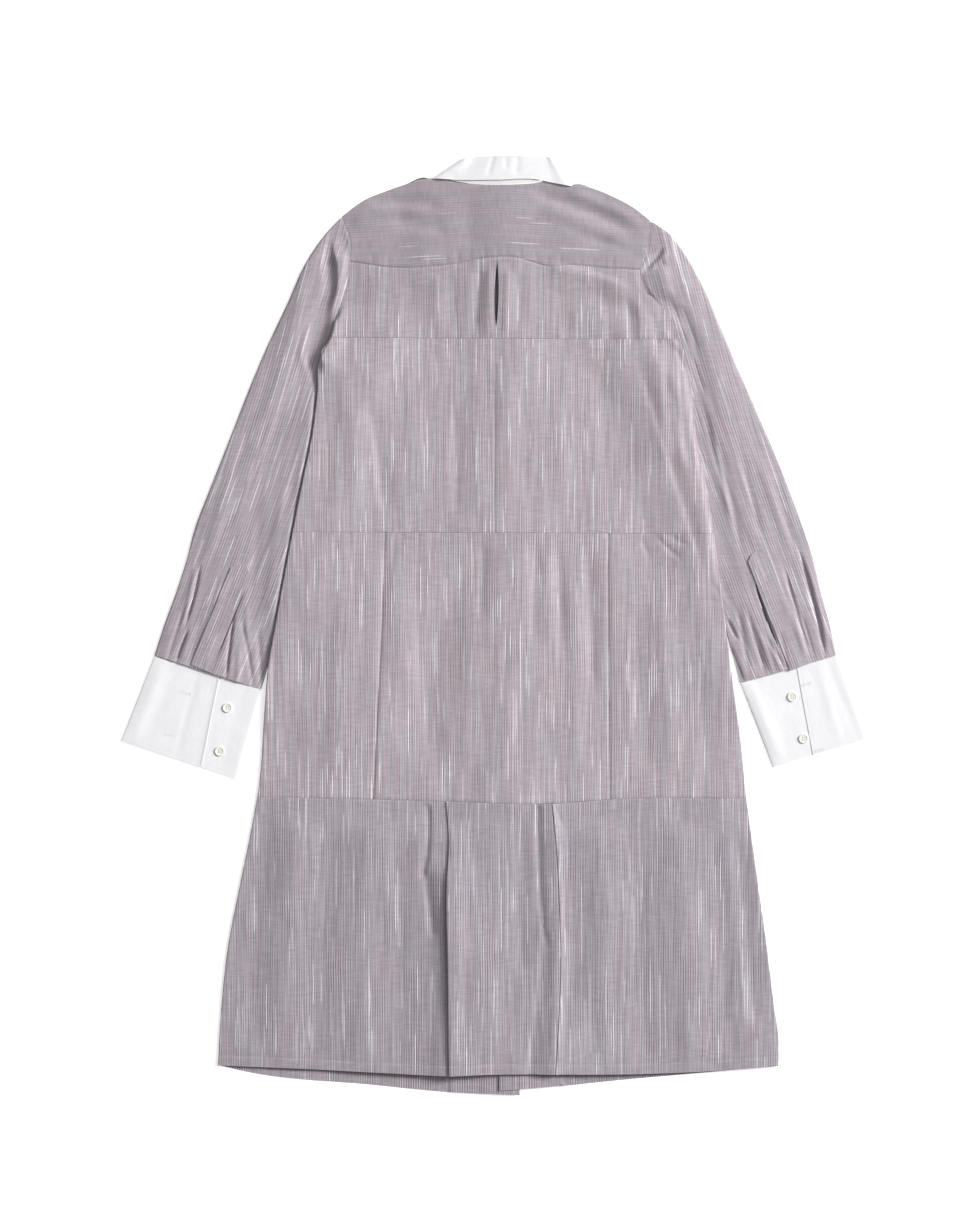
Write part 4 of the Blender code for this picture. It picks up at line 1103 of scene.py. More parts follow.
def measure(points):
    """Return the width, length and area of a grid in metres, with all its folds."""
    width = np.linalg.norm(np.diff(points, axis=1), axis=-1).sum(axis=1).max()
    length = steps_of(points).sum(axis=0).max()
    side_a = points[1:, 1:] - points[:-1, :-1]
    side_b = points[1:, :-1] - points[:-1, 1:]
    area = np.linalg.norm(np.cross(side_a, side_b), axis=-1).sum() / 2
    return width * MM, length * MM, area * MM * MM


def cloth(node, points, cut, finish, thickness=SHELL, slot="striped_cloth", slit=None):
    """Make the cloth that stands for a CAD node, from its grid and its cut in mm."""
    rows, columns = points.shape[:2]
    deselect()
    bpy.ops.mesh.primitive_grid_add(
        x_subdivisions=columns - 1, y_subdivisions=rows - 1, size=2.0)
    piece = bpy.context.object
    piece.name = node + "_cloth"
    mesh = piece.data
    flat = np.zeros(len(mesh.vertices) * 3)
    mesh.vertices.foreach_get("co", flat)
    flat = flat.reshape(-1, 3)
    column = np.rint((flat[:, 0] + 1) / 2 * (columns - 1)).astype(int)
    row = np.rint((flat[:, 1] + 1) / 2 * (rows - 1)).astype(int)
    mesh.vertices.foreach_set("co", (points[row, column] * MM).ravel())
    corners = np.zeros(len(mesh.loops), dtype=np.int32)
    mesh.loops.foreach_get("vertex_index", corners)
    layer = mesh.uv_layers[0] if mesh.uv_layers else mesh.uv_layers.new()
    layer.name = CUT
    layer.uv.foreach_set("vector", (cut[row, column][corners] * MM).ravel())
    mesh.update()
    mesh.materials.append(finish)
    if slit is not None:
        cut_open(piece, row, column, slit)
    wall = piece.modifiers.new("wall", "SOLIDIFY")
    wall.thickness = thickness * MM
    wall.offset = 0.0
    bpy.ops.object.modifier_apply(modifier=wall.name)
    bpy.ops.object.shade_smooth_by_angle(angle=SMOOTH_ANGLE)
    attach(piece, "root")
    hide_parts(node)
    grids[node] = points
    made_pieces.append((piece, *measure(points)))


print("the cloth's shell is", SHELL, "mm thick")

# %% Lines and cuts of a panel
NEAR_SEAM = (0.0, 0.7, 1.5, 2.6, 4.0)
CURL_GAP = 0.7
CURL_RADIUS = (WALL + SIDE_AIR) / 2
CURL_ANGLES = np.radians((0, 15, 30, 45, 60, 75))
RIGHT_ANGLE = np.pi / 2


def seam_lines(length, step, first=NEAR_SEAM, last=NEAR_SEAM):
    """Return shares across a piece, closer together beside the seams at its ends."""
    start = np.array(first) / length
    end = 1 - np.array(last) / length
    count = max(2, round(length * (end[-1] - start[-1]) / step))
    inner = np.linspace(start[-1], end[-1], count + 1)
    return np.concatenate([start[:-1], inner, end[-2::-1]])


def curl_lines(share, curled_start, curled_end):
    """Return a panel's lines: share across it, and curl angles at either end."""
    start = np.full(len(share), RIGHT_ANGLE)
    end = np.full(len(share), RIGHT_ANGLE)
    flat = np.full(len(CURL_ANGLES), RIGHT_ANGLE)
    if curled_start:
        share = np.concatenate([0 * CURL_ANGLES, share])
        start = np.concatenate([CURL_ANGLES, start])
        end = np.concatenate([flat, end])
    if curled_end:
        share = np.concatenate([share, 1 + 0 * CURL_ANGLES])
        start = np.concatenate([start, flat])
        end = np.concatenate([end, CURL_ANGLES[::-1]])
    return share, start, end


def girth(points):
    """Return the distance of every point along its row from the row's first point."""
    steps = np.linalg.norm(np.diff(points, axis=1), axis=-1)
    return np.concatenate([np.zeros((len(points), 1)), np.cumsum(steps, axis=1)], axis=1)


def upright_cut(points):
    """Return the cut of a panel whose warp runs up the body."""
    across = girth(points)
    middle = points.shape[1] // 2
    across = across - across[:, middle:middle + 1] + points[:, middle:middle + 1, 0]
    return np.stack([across, points[..., 1]], axis=-1)


print("radius of a curled edge in mm:", CURL_RADIUS)

# %% Panels between four edges
SIDE_SEAM_TOP_Y = 305.0
SIDE_SEAM_RUN = 45.0
NECK_HALF_WIDTH = 70.0
NECK_RUN = 12.0


def front_height(x, y):
    """Return the height of the front that reaches the side a point is on."""
    return np.where(x < CLOSING_X, left_front_height(x, y), right_front_height(x, y))


def side_seam_height(x, y):
    """Return the height at which front and back meet."""
    return (front_height(x, y) + back_base(x, y)) / 2


def side_curl(y):
    """Return 1 where front and back meet in a side seam, 0 along the armhole."""
    return ease((SIDE_SEAM_TOP_Y - y) / SIDE_SEAM_RUN)


def shoulder_curl(x):
    """Return 1 where yoke and front meet at the shoulder, 0 along the neck."""
    return ease((np.abs(x - COLLAR_CENTRE_X) - NECK_HALF_WIDTH) / NECK_RUN)


print("height where front and back meet:", round(float(side_seam_height(-250.0, 0.0)), 2))

# %% The grid of a panel
PANEL_COLUMNS = "name left right bottom top height steps curls seams tone"
EDGE_ROUNDS = 24
SEAM_REACH = 1.5


def seam_dip(distance, depth):
    """Return how far cloth dips at a distance from the line of a seam."""
    return depth * bell(distance, SEAM_REACH)


def panel_points(panel, seam_side):
    """Return the grid of a panel between its four edges.

    Left and right give x at a height, bottom and top give y at an x. At a curled
    edge the cloth turns to meet its neighbour of the other layer, and at a seam it
    dips; seam_side is 1 for a back panel and -1 for a front one.
    """
    low = float(panel.bottom(0.0))
    high = float(panel.top(0.0))
    middle = (low + high) / 2
    across = seam_lines(float(panel.right(middle) - panel.left(middle)), panel.steps[0])
    along = seam_lines(high - low, panel.steps[1])
    u, u_start, u_end = curl_lines(across, "left" in panel.curls, "right" in panel.curls)
    v, _, v_end = curl_lines(along, False, "top" in panel.curls)
    u, v = np.meshgrid(u, v)
    u_start, v_end = np.meshgrid(u_start, v_end)
    u_end = np.broadcast_to(u_end, u.shape)
    inset = SEAM / 2
    from_left, from_right, from_top = (
        CURL_RADIUS if edge in panel.curls else inset for edge in ("left", "right", "top"))
    y = mix(low, high, v)
    x = mix(panel.left(y), panel.right(y), u)
    for _ in range(EDGE_ROUNDS):
        y = mix(panel.bottom(x) + inset, panel.top(x) - from_top, v) + from_top * np.cos(v_end)
        x = mix(panel.left(y) + from_left, panel.right(y) - from_right, u)
        x = x - from_left * np.cos(u_start) + from_right * np.cos(u_end)
    gaps = {"left": x - panel.left(y), "right": panel.right(y) - x,
            "bottom": y - panel.bottom(x), "top": panel.top(x) - y}
    flat = panel.height(x, y) - sum(seam_dip(gaps[edge], depth) for edge, depth in panel.seams)
    meeting = side_seam_height(x, y) + seam_side * CURL_GAP / 2
    turned = side_curl(y) * (2 - np.sin(u_start) - np.sin(u_end))
    turned = np.maximum(turned, shoulder_curl(x) * (1 - np.sin(v_end)))
    return np.stack([x, y, mix(flat, meeting, turned)], axis=-1)


print("columns of a panel's table:", PANEL_COLUMNS)

# %% [markdown]
# ## The back
# Eight panels make the back down to the flounce seam. They are sewn edge to edge,
# 0.3 mm apart, and the cloth dips at most seams. The yoke is cut with its warp
# across the shoulders, as shirt yokes are, and the others with theirs upright.

# %% Panels of the back
YOKE_SLANT = 0.05
FINE_STEPS = (2.4, 2.4)
YOKE_STEPS = (2.0, 2.0)
FAINT = 0.14
SOFT = 0.45
SHARP = 0.85


def yoke_cut(points):
    """Return the cut of the yoke, whose warp runs across the shoulders."""
    x, y = points[..., 0], points[..., 1]
    return np.stack([y + YOKE_SLANT * np.abs(x), x], axis=-1)


def make_panels(rows, seam_side):
    """Make the cloth of each panel in a table."""
    for panel in rows:
        points = panel_points(panel, seam_side)
        cut = yoke_cut(points) if panel.name == "yoke" else upright_cut(points)
        cloth(panel.name, points, cut, shirting[panel.tone])
        print(panel.name, "has a grid of", points.shape[:2])


make_panels(table(
    PANEL_COLUMNS,
    ("back_upper_left", left_edge, slit_left, band_seam, yoke_seam, back_height, FINE_STEPS,
     (), (("top", SOFT), ("bottom", FAINT), ("left", FAINT)), "upper"),
    ("back_upper_right", slit_right, right_edge, band_seam, yoke_seam, back_height,
     FINE_STEPS, (), (("top", SOFT), ("bottom", FAINT), ("right", FAINT)), "upper"),
    ("back_bodice_left", left_edge, centre_line, waist_seam, band_seam, back_height,
     FINE_STEPS, ("left",), (("top", FAINT), ("bottom", FAINT), ("right", SOFT)), "back"),
    ("back_bodice_right", centre_line, right_edge, waist_seam, band_seam, back_height,
     FINE_STEPS, ("right",), (("top", FAINT), ("bottom", FAINT), ("left", SOFT)), "back"),
    ("skirt_back_left", left_edge, left_skirt_seam, flounce_seam, waist_seam, back_height,
     FINE_STEPS, ("left",), (("top", FAINT), ("bottom", SOFT), ("right", SHARP)), "skirt"),
    ("skirt_back_centre", left_skirt_seam, right_skirt_seam, flounce_seam, waist_seam,
     back_height, FINE_STEPS, (),
     (("top", FAINT), ("bottom", SOFT), ("left", SHARP), ("right", SHARP)), "skirt"),
    ("skirt_back_right", right_skirt_seam, right_edge, flounce_seam, waist_seam,
     back_height, FINE_STEPS, ("right",),
     (("top", FAINT), ("bottom", SOFT), ("left", SHARP)), "skirt"),
    ("yoke", left_edge, right_edge, yoke_seam, yoke_top, yoke_height, YOKE_STEPS,
     ("top",), (("bottom", SHARP), ("left", FAINT), ("right", FAINT)), "yoke"),
), 1)

# %% [markdown]
# ## The flounce
# Two knife pleats let the flounce swing. The cloth runs to a pleat from the left,
# on under its edge, back again and over the edge to the right, so three layers lie
# there. The path is worked out for each row, and every row has its own edge.

# %% Flounce with its knife pleats
PLEATS = (
    (smooth_line(table(
        "y edge_x", (-203, -55.5), (-248, -52.5), (-294, -54.5), (-396, -53.0), (-520, -52.0))),
     smooth_line(table(
         "y step", (-203, 0.55), (-245, 0.8), (-285, 1.5), (-340, 2.4), (-400, 2.5),
         (-455, 2.1), (-520, 1.2))), 110),
    (smooth_line(table(
        "y edge_x", (-203, 66.5), (-258, 71.5), (-323, 74.5), (-396, 76.0), (-468, 73.0),
        (-520, 70.0))),
     smooth_line(table(
         "y step", (-203, 0.5), (-250, 0.45), (-330, 0.47), (-440, 0.47), (-520, 0.45))), 60),
)
LAST_COLUMNS = 120
RETURN_COLUMNS = 6
PLEAT_UNDERLAY = 25.0
PLEAT_FALL = 36.0
PLEAT_CLEAR = 2.0
FOLD_CLEAR = 1.5
FLOUNCE_SHELL = 0.4
HALF_TURN = np.radians((20, 45, 70, 90, 110, 135, 160))


def level_stretch(start, end, columns, rise, level_end, taken):
    """Return a path over a stretch that is held up to level_end and then falls."""
    stretch = []
    for share in even(columns):
        x = mix(start, end, share)
        fall = rise * (1 - ease((x - level_end) / PLEAT_FALL))
        stretch.append((x, fall, RIGHT_ANGLE, x + taken))
    return stretch


def half_turn(x, rise, radius, cut, outward):
    """Return a path round a fold, from one layer up to the next."""
    return [(x + outward * radius * np.sin(a), rise + radius * (1 - np.cos(a)), RIGHT_ANGLE,
             cut + a / TURN) for a in HALF_TURN]


print("knife pleats:", len(PLEATS))

# %% One row of the flounce


def flounce_row(y):
    """Return the flounce's path from side to side at one height: x, rise, curl, cut."""
    start = float(left_edge(y))
    end = float(right_edge(y))
    path = [(start + CURL_RADIUS * (1 - np.cos(a)), 0.0, a, start) for a in CURL_ANGLES]
    begin = start + CURL_RADIUS
    level_end = begin
    rise = 0.0
    taken = 0.0
    for edge_line, step_line, columns in PLEATS:
        edge = float(edge_line(y))
        step = float(step_line(y))
        inner = edge + PLEAT_UNDERLAY
        path += level_stretch(begin, inner, columns, rise, level_end, taken)
        path += half_turn(inner, 0.0, step / 2, inner + taken, 1)
        for share in even(RETURN_COLUMNS)[1:]:
            x = mix(inner, edge, share)
            path.append((x, step, RIGHT_ANGLE, 2 * inner - x + taken))
        taken += 2 * PLEAT_UNDERLAY
        path += half_turn(edge, step, step / 2, edge + taken, -1)
        path.append((edge, 2 * step, RIGHT_ANGLE, edge + taken + 1.0))
        begin = edge + PLEAT_CLEAR
        level_end = inner + step / 2 + FOLD_CLEAR
        rise = 2 * step
    path += level_stretch(begin, end - CURL_RADIUS, LAST_COLUMNS, rise, level_end, taken)
    path += [(end - CURL_RADIUS * (1 - np.cos(a)), 0.0, a, end + taken)
             for a in CURL_ANGLES[::-1]]
    return np.array(path)


print("points across the flounce:", len(flounce_row(-400.0)))

# %% The flounce's hem, and its cloth
HEM_DEPTH = 11.5
HEM_RISE = 0.25
HEM_DIP = 0.3
HEM_STITCH = 1.0
NEAR_HEM = (0.0, 0.7, 1.5, 2.6, 4.0, 6.5, 9.0, 10.3, 11.0, 11.5, 12.0, 12.7, 14.0)
FLOUNCE_LEVELS = (-520.0, -200.0)
FLOUNCE_STEP = 3.2


def hem_rise(up):
    """Return the rise of a hem that is turned up inside and sewn down."""
    doubled = HEM_RISE * ease((HEM_DEPTH + HEM_STITCH - up) / (2 * HEM_STITCH))
    return doubled - HEM_DIP * bell(up - HEM_DEPTH, HEM_STITCH)


def flounce_points():
    """Return the grid of the back flounce, a row for each height, and its cut."""
    rows = []
    cuts = []
    for share in seam_lines(FLOUNCE_LEVELS[1] - FLOUNCE_LEVELS[0], FLOUNCE_STEP, NEAR_HEM):
        path = flounce_row(mix(*FLOUNCE_LEVELS, share))
        x = path[:, 0]
        y = mix(back_hem(x) + SEAM / 2, flounce_seam(x) - SEAM / 2, share)
        flat = flounce_height(x, y) + path[:, 1] - seam_dip(flounce_seam(x) - y, SOFT)
        flat = flat + hem_rise(y - back_hem(x))
        meeting = side_seam_height(x, y) + CURL_GAP / 2
        z = mix(flat, meeting, 1 - np.sin(path[:, 2]))
        rows.append(np.stack([x, y, z], axis=-1))
        cuts.append(np.stack([path[:, 3], y], axis=-1))
    return np.array(rows), np.array(cuts)


cloth("flounce_back", *flounce_points(), shirting["flounce"], FLOUNCE_SHELL)
print("flounce cut width in mm:", round(float(girth(grids["flounce_back"]).max())))

# %% [markdown]
# ## The fronts
# Both fronts lie under the back and show only past its hem and from below. The left
# one laps over the right one, which from behind puts it on the table.

# %% Fronts and their flounces


def left_front_edge(y):
    """Return the free edge of the left front, which laps over the right one."""
    return CLOSING_X + OVERLAP + 0 * y


def right_front_edge(y):
    """Return the free edge of the right front."""
    return CLOSING_X - OVERLAP + 0 * y


HIDDEN_STEPS = (6.0, 6.0)
HEM_STEPS = (2.0, 6.0)
make_panels(table(
    PANEL_COLUMNS,
    ("front_left", left_edge, left_front_edge, flounce_seam, left_front_top,
     left_front_height, HIDDEN_STEPS, ("left", "top"), (), "front"),
    ("front_right", right_front_edge, right_edge, flounce_seam, right_front_top,
     right_front_height, HIDDEN_STEPS, ("right", "top"), (), "front"),
    ("front_flounce_left", left_edge, left_front_edge, left_front_hem, flounce_seam,
     left_front_height, HEM_STEPS, ("left",), (), "front"),
    ("front_flounce_right", right_front_edge, right_edge, right_front_hem, flounce_seam,
     right_front_height, HEM_STEPS, ("right",), (), "front"),
), -1)

# %% [markdown]
# ## The sleeves
# A sleeve is a tube. Each row of its grid runs over it from the inner edge to the
# outer fold, round that and back underneath. Its first rows start along the armhole,
# the next ones under the body, and the last ones at the cuff.

# %% Outline of the sleeves
SLEEVE_OUTER = {
    "left": table(
        "x y", (-176, 469), (-190, 454.5), (-215, 420), (-239, 368), (-263.5, 316),
        (-285, 264.5), (-305, 213), (-325.5, 161), (-345.5, 109), (-359, 57.5), (-373, 20),
        (-391, -34)),
    "right": table(
        "x y", (178, 465), (195.5, 454), (210.5, 437), (232, 402.5), (255.5, 351), (277, 299),
        (300, 247), (322, 195.5), (342.5, 144), (361, 92), (374, 40), (387.5, -11.5),
        (392, -34)),
}
ARMHOLE_END_Y = 310.0
RING_GAP = 0.15
RING_START = 1.5
OUTER_SHARE = 0.78
PLAN_LEVELS = 9


def sleeve_plan(side):
    """Return the map from shares across and along a sleeve to its plan, and its length."""
    outline = SLEEVE_OUTER[side]
    cuff = CUFFS[side]
    top = outline[0].y
    levels = np.linspace(top - RING_START, ARMHOLE_END_Y, PLAN_LEVELS)
    inner = [(float(EDGES[side](y)) + OUTWARD[side] * RING_GAP, y) for y in levels]
    inner += UNDERARM[side]
    outer_y = [top - (top - y) * OUTER_SHARE for x, y in inner]
    outer_y[0] = top - 2 * RING_START
    outer_end = outer_y[-1]
    for share in even(PLAN_LEVELS)[1:]:
        inner.append(mix(np.array(UNDERARM[side][-1]), np.array(cuff.inner_top), share))
        outer_y.append(mix(outer_end, cuff.outer_top[1], share))
    inner = np.array(inner)
    outer = np.column_stack([smooth_line(outline, 1, 0)(outer_y), outer_y])
    middle = (inner + outer) / 2
    rows = shares_along(middle)
    inner_line = route(inner, rows)
    outer_line = route(outer, rows)

    def at(across, along):
        across = np.asarray(across, dtype=float)[..., None]
        return mix(outer_line(along), inner_line(along), across)

    return at, float(np.sum(steps_of(middle)))


print("length of the left sleeve in mm:", round(sleeve_plan("left")[1]))

# %% Creases of the sleeves
SLEEVE_CREASES = {
    "left": table(
        CREASE_COLUMNS,
        ("armhole_crest", -212, 352, -222, 288, -3, 5, 1.4, 1.2),
        ("below_armhole_rise", -201, 288, -226, 130, 0, 21, 0.5, 3.9),
        ("beside_body_rise", -227, 160, -257, -26, 0, 14, 0.5, 3.4),
        ("shoulder_pleat", -182, 436, -171, 447, 0, 1.6, 1.4, -1.2),
        ("shoulder_pleat_two", -177, 431, -167, 443, 0, 1.6, 1.4, -1),
        ("upper_ridge", -210, 417, -268, 213, 2, 11, 1, 1.2),
        ("cap_trough", -204, 408, -224, 316, 0, 6, 1.4, -0.9),
        ("outer_trough", -252, 309, -302, 160, 0, 7, 1.2, -1),
        ("middle_trough", -236, 282, -293, 75, 0, 7, 1.4, -1.1),
        ("inner_ridge", -233, 224, -268, -17, 0, 7, 1, 1.3),
        ("lower_ridge", -302, 178, -334, 57, 0, 7, 1, 1.1),
        ("lower_trough", -268, 144, -282, 29, 0, 5, 1.4, -1.1),
        ("outer_tuck", -338, 74, -358, -6, 2, 1.4, 1.2, -3.4),
        ("outer_tuck_lip", -343, 74, -363, -10, 2, 2.4, 1, 1.4),
        ("outer_tuck_end", -352, -3.4, -368, -47, -1, 1.4, 1.4, -2.6),
        ("edge_gather_one", -355, 29, -379, -45, 0, 2, 1.4, -1),
        ("edge_gather_two", -334, 15, -355, -52, 0, 2.2, 1.4, -1.2),
        ("edge_bulge", -346, 3.4, -361, -47, 0, 3, 1, 0.9),
        ("inner_tuck", -299, 16, -310, -72, -1, 1.4, 1.2, -3.4),
        ("inner_tuck_two", -292, 10, -278, -75, 1, 1.5, 1.3, -2.2),
        ("inner_bulge", -293, -17, -296, -75, 0, 3.2, 1, 1.2),
        ("inner_gather", -273, 0, -268, -75, 0, 2.4, 1.4, -1.4),
        ("inner_gather_two", -285, 29, -286, -40, 0, 2.6, 1.2, 0.9),
        ("placket_side", -314, 63, -351, -49, 0, 1.3, 1.2, -0.8),
    ),
    "right": table(
        CREASE_COLUMNS,
        ("shoulder_pinch", 195, 434, 165, 405, 2, 2.4, 1.5, -3.4),
        ("shoulder_roll", 199, 431, 174, 411, 3, 3.2, 1, 1.4),
        ("shoulder_crease", 196, 419, 182, 411, 0, 1.8, 1.4, -2.2),
        ("under_pinch", 192, 414, 198, 372, 0, 15, 0.5, 2.4),
        ("cap_ridge", 208, 417, 224, 374, 0, 9, 1, 1.1),
        ("seam_crease_one", 202, 376, 222, 318, 0, 1.1, 1.4, -0.8),
        ("seam_crease_two", 213, 372, 234, 314, 0, 1.4, 1.4, -0.5),
        ("seam_crease_three", 225, 314, 242, 262, 0, 1.3, 1.6, -1.0),
        ("upper_ridge", 240, 385, 288, 224, 0, 16, 1, 0.9),
        ("upper_trough", 222, 350, 261, 213, 0, 4, 1.4, -0.6),
        ("outer_trough", 254, 339, 309, 178, 0, 7, 1.2, -0.9),
        ("elbow_crease_one", 236, 261, 266, 144, 0, 3, 1.6, -1.4),
        ("elbow_crease_two", 254, 224, 286, 75, 0, 3.6, 1.6, -1.5),
        ("elbow_ridge", 245, 247, 275, 98, 0, 4, 1, 1.1),
        ("long_crease", 279, 213, 309, 89, 0, 3.4, 1.5, -1.2),
        ("outer_crease", 314, 178, 351, 68, 0, 3.4, 1.5, -1.2),
        ("outer_ridge", 300, 201, 342, 75, 0, 6, 1, 1.1),
        ("outer_tuck", 347, 94, 381, -44, 3, 2.6, 0.42, -3.8),
        ("outer_tuck_lip", 352, 90, 386, -43, 3, 2.2, 1, 1.3),
        ("middle_tuck", 329, 84, 367, -49, -2, 3, 0.6, -2),
        ("middle_bulge", 339, 40, 358, -45, 0, 3.4, 1, 1),
        ("gather_one", 351, 17, 369, -45, 0, 1.8, 1.2, -1.1),
        ("second_slit", 326, -2, 339, -56, 0, 1.9, 0.9, -3.2),
        ("slit_bulge", 316, -17, 328, -54, 0, 3, 1, 1.2),
        ("inner_gather_one", 288, 22, 315, -61, -2, 2, 1.5, -1.7),
        ("inner_gather_two", 310, -10, 336, -54, -1, 1.9, 1.4, -1.5),
        ("inner_gather_three", 277, 29, 293, -61, 0, 2.6, 1.4, -1.2),
        ("inner_bulge", 300, 1.1, 321, -59, 0, 3, 1, 1.1),
        ("body_side_pinch", 266, 8, 279, -18, 0, 1.5, 1.3, -2.6),
        ("body_side_gap", 264, -14, 286, -70, 0, 2.6, 1.2, -3.2),
        ("gather_four", 302, -17, 309, -59, 0, 1.6, 1.2, -0.9),
    ),
}
SLEEVE_SLITS = by_side(table(
    "side x0 y0 x1 y1 bow",
    ("left", -288.6, 40, -326, -50, 0.0), ("right", 299.5, 47, 325, -24, -1.5)))
print("creases of the sleeves:", sum(len(rows) for rows in SLEEVE_CREASES.values()))

# %% The valley behind the left sleeve's roll
ARMHOLE_VALLEY = table(
    "y start end depth",
    (446, 22, 23, 0.0), (431, 19, 25, 0.7), (413, 13, 24, 1.0), (400, 11.5, 23, 1.0),
    (385, 9.5, 22, 1.0), (370, 7.5, 24, 1.0), (350, 1, 22, 1.0), (334, 0, 22, 1.0),
    (320, 0, 18, 1.0), (306, 0, 13, 1.0), (290, 0, 6, 0.6), (276, 0, 4, 0.0),
)
VALLEY_LEVEL = 1.1
VALLEY_SLOPE = 0.6
VALLEY_LEAST = 3.0
VALLEY_SIDE = 9.0
VALLEY_TOP_RUN = 12.0
ROLL_RISE = 3.8
ROLL_SIDE = 8.0
ROLL_TOP_Y = 432.0
ROLL_TOP_RUN = 12.0
ROLL_END_Y = 350.0
ROLL_END_RUN = 30.0
NEAR_BODY = 15.0
OFF_BODY = 1.0
valley_start = smooth_line(ARMHOLE_VALLEY)
valley_end = smooth_line(ARMHOLE_VALLEY, 0, 2)
valley_depth = smooth_line(ARMHOLE_VALLEY, 0, 3)


def armhole_fold(height, gap, y):
    """Return the left sleeve's height with its roll and the deep valley behind that."""
    start = np.maximum(valley_start(y), 0.0)
    end = np.maximum(valley_end(y), VALLEY_LEAST)
    depth = np.clip(valley_depth(y), 0, 1) * ease((ARMHOLE_VALLEY[0].y - y) / VALLEY_TOP_RUN)
    down = ease((gap - start) / (VALLEY_SLOPE * (end - start)))
    back_up = 1 - ease((gap - end) / VALLEY_SIDE)
    held = ease((ROLL_TOP_Y - y) / ROLL_TOP_RUN) * ease((y - ROLL_END_Y) / ROLL_END_RUN)
    roll = ROLL_RISE * held * ease((gap - OFF_BODY) / ROLL_SIDE)
    roll = roll * (1 - ease((gap - start) / NEAR_BODY))
    return mix(height + roll, VALLEY_LEVEL, np.clip(down * back_up * depth, 0, 1))


print("the valley's width at y 400 in mm:", float(valley_end(400) - valley_start(400)))

# %% The height of a sleeve's upper layer
SLIT_DEPTH = 1.6
SLIT_GROOVE = 2.2
SLIT_TOP_RUN = 0.1
SLIT_END_RUN = 0.3
SLEEVE_FADE = 0.3
SLEEVE_CROWN = 2.4
SLEEVE_CROWN_AT_CUFF = 0.75
SLEEVE_ROUNDING = 0.6
CROWN_FROM = 3.0
CROWN_RUN = {"left": 52.0, "right": 26.0}
SMOOTH_BESIDE_BODY = 4.0
SMOOTH_AT_FOLD = 0.05
JOINED_DOWN_TO = 346
UNDER_BODY_FROM = 326
SEAM_FADE_Y = 300.0
SEAM_FADE_RUN = 20.0


def armhole_height(side, y):
    """Return the height of the sleeve's upper layer at the armhole."""
    joined = ease((y - UNDER_BODY_FROM) / (JOINED_DOWN_TO - UNDER_BODY_FROM))
    return mix(SLEEVE_TOP, back_base(EDGES[side](y), y), joined)


def sleeve_height(side, across, along, x, y):
    """Return the height of a sleeve's upper layer."""
    gap = OUTWARD[side] * (x - EDGES[side](y))
    near = 1 - ease(gap / NEAR_BODY)
    free = ease((gap - CROWN_FROM) / CROWN_RUN[side])
    round_off = np.sin(np.pi * np.clip(across, 0, 1)) ** SLEEVE_ROUNDING
    crown = SLEEVE_CROWN * mix(1.0, SLEEVE_CROWN_AT_CUFF, along) * round_off
    folds = crease_height(SLEEVE_CREASES[side], x, y, SLEEVE_FADE)
    folds = folds + slow_waves(DRAPE_WAVES, x, y)
    aside, down = beside(SLEEVE_SLITS[side], x, y)
    groove = SLIT_DEPTH * bell(aside, SLIT_GROOVE)
    folds = folds - groove * ease(down / SLIT_TOP_RUN) * ease((1 - down) / SLIT_END_RUN)
    shown = ease((gap - OFF_BODY) / SMOOTH_BESIDE_BODY) * ease(across / SMOOTH_AT_FOLD)
    joined = ease((y - SEAM_FADE_Y) / SEAM_FADE_RUN)
    seam = (armhole_height(side, y) - SLEEVE_TOP) * near * joined
    sewn = seam_dip(gap, FAINT) * joined
    height = SLEEVE_TOP + seam + crown * free + folds * shown - sewn
    if side == "left":
        height = armhole_fold(height, gap, y)
    return rest_on(height, FLOOR_CLOTH + LAYER_GAP)


print("sleeve's height by the elbow:", round(float(sleeve_height("left", 0.5, 0.5, -270.0, 200.0)), 2))

# %% One row of a sleeve
SLEEVE_COLUMNS = 96
SLIT_COLUMNS = 10
SLIT_REACH = 0.022
SLIT_LIMITS = (0.3, 0.8)
COLUMNS_BEFORE_SLIT = {"left": 58, "right": 52}
UNDER_COLUMNS = 16
CLOSED_FROM_Y = 312.0
CLOSED_RUN = 50.0
SLEEVE_TURN = np.radians((18, 36, 54, 72, 90, 108, 126, 144, 162))


def slit_share(slit, ends):
    """Return the share across a sleeve's row at which the row crosses the slit's line."""
    run = np.array([slit.x1 - slit.x0, slit.y1 - slit.y0])
    from_start = ends - np.array([slit.x0, slit.y0])
    off = from_start[:, 0] * run[1] - from_start[:, 1] * run[0]
    return float(np.clip(off[0] / (off[0] - off[1]), *SLIT_LIMITS))


def upper_shares(side, ends):
    """Return the shares across a sleeve's row, close together beside the slit."""
    slit = slit_share(SLEEVE_SLITS[side], ends)
    before = COLUMNS_BEFORE_SLIT[side]
    return np.concatenate([
        np.linspace(0, slit - SLIT_REACH, before + 1)[:-1],
        np.linspace(slit - SLIT_REACH, slit + SLIT_REACH, SLIT_COLUMNS + 1)[:-1],
        np.linspace(slit + SLIT_REACH, 1, SLEEVE_COLUMNS - before + 1),
    ])


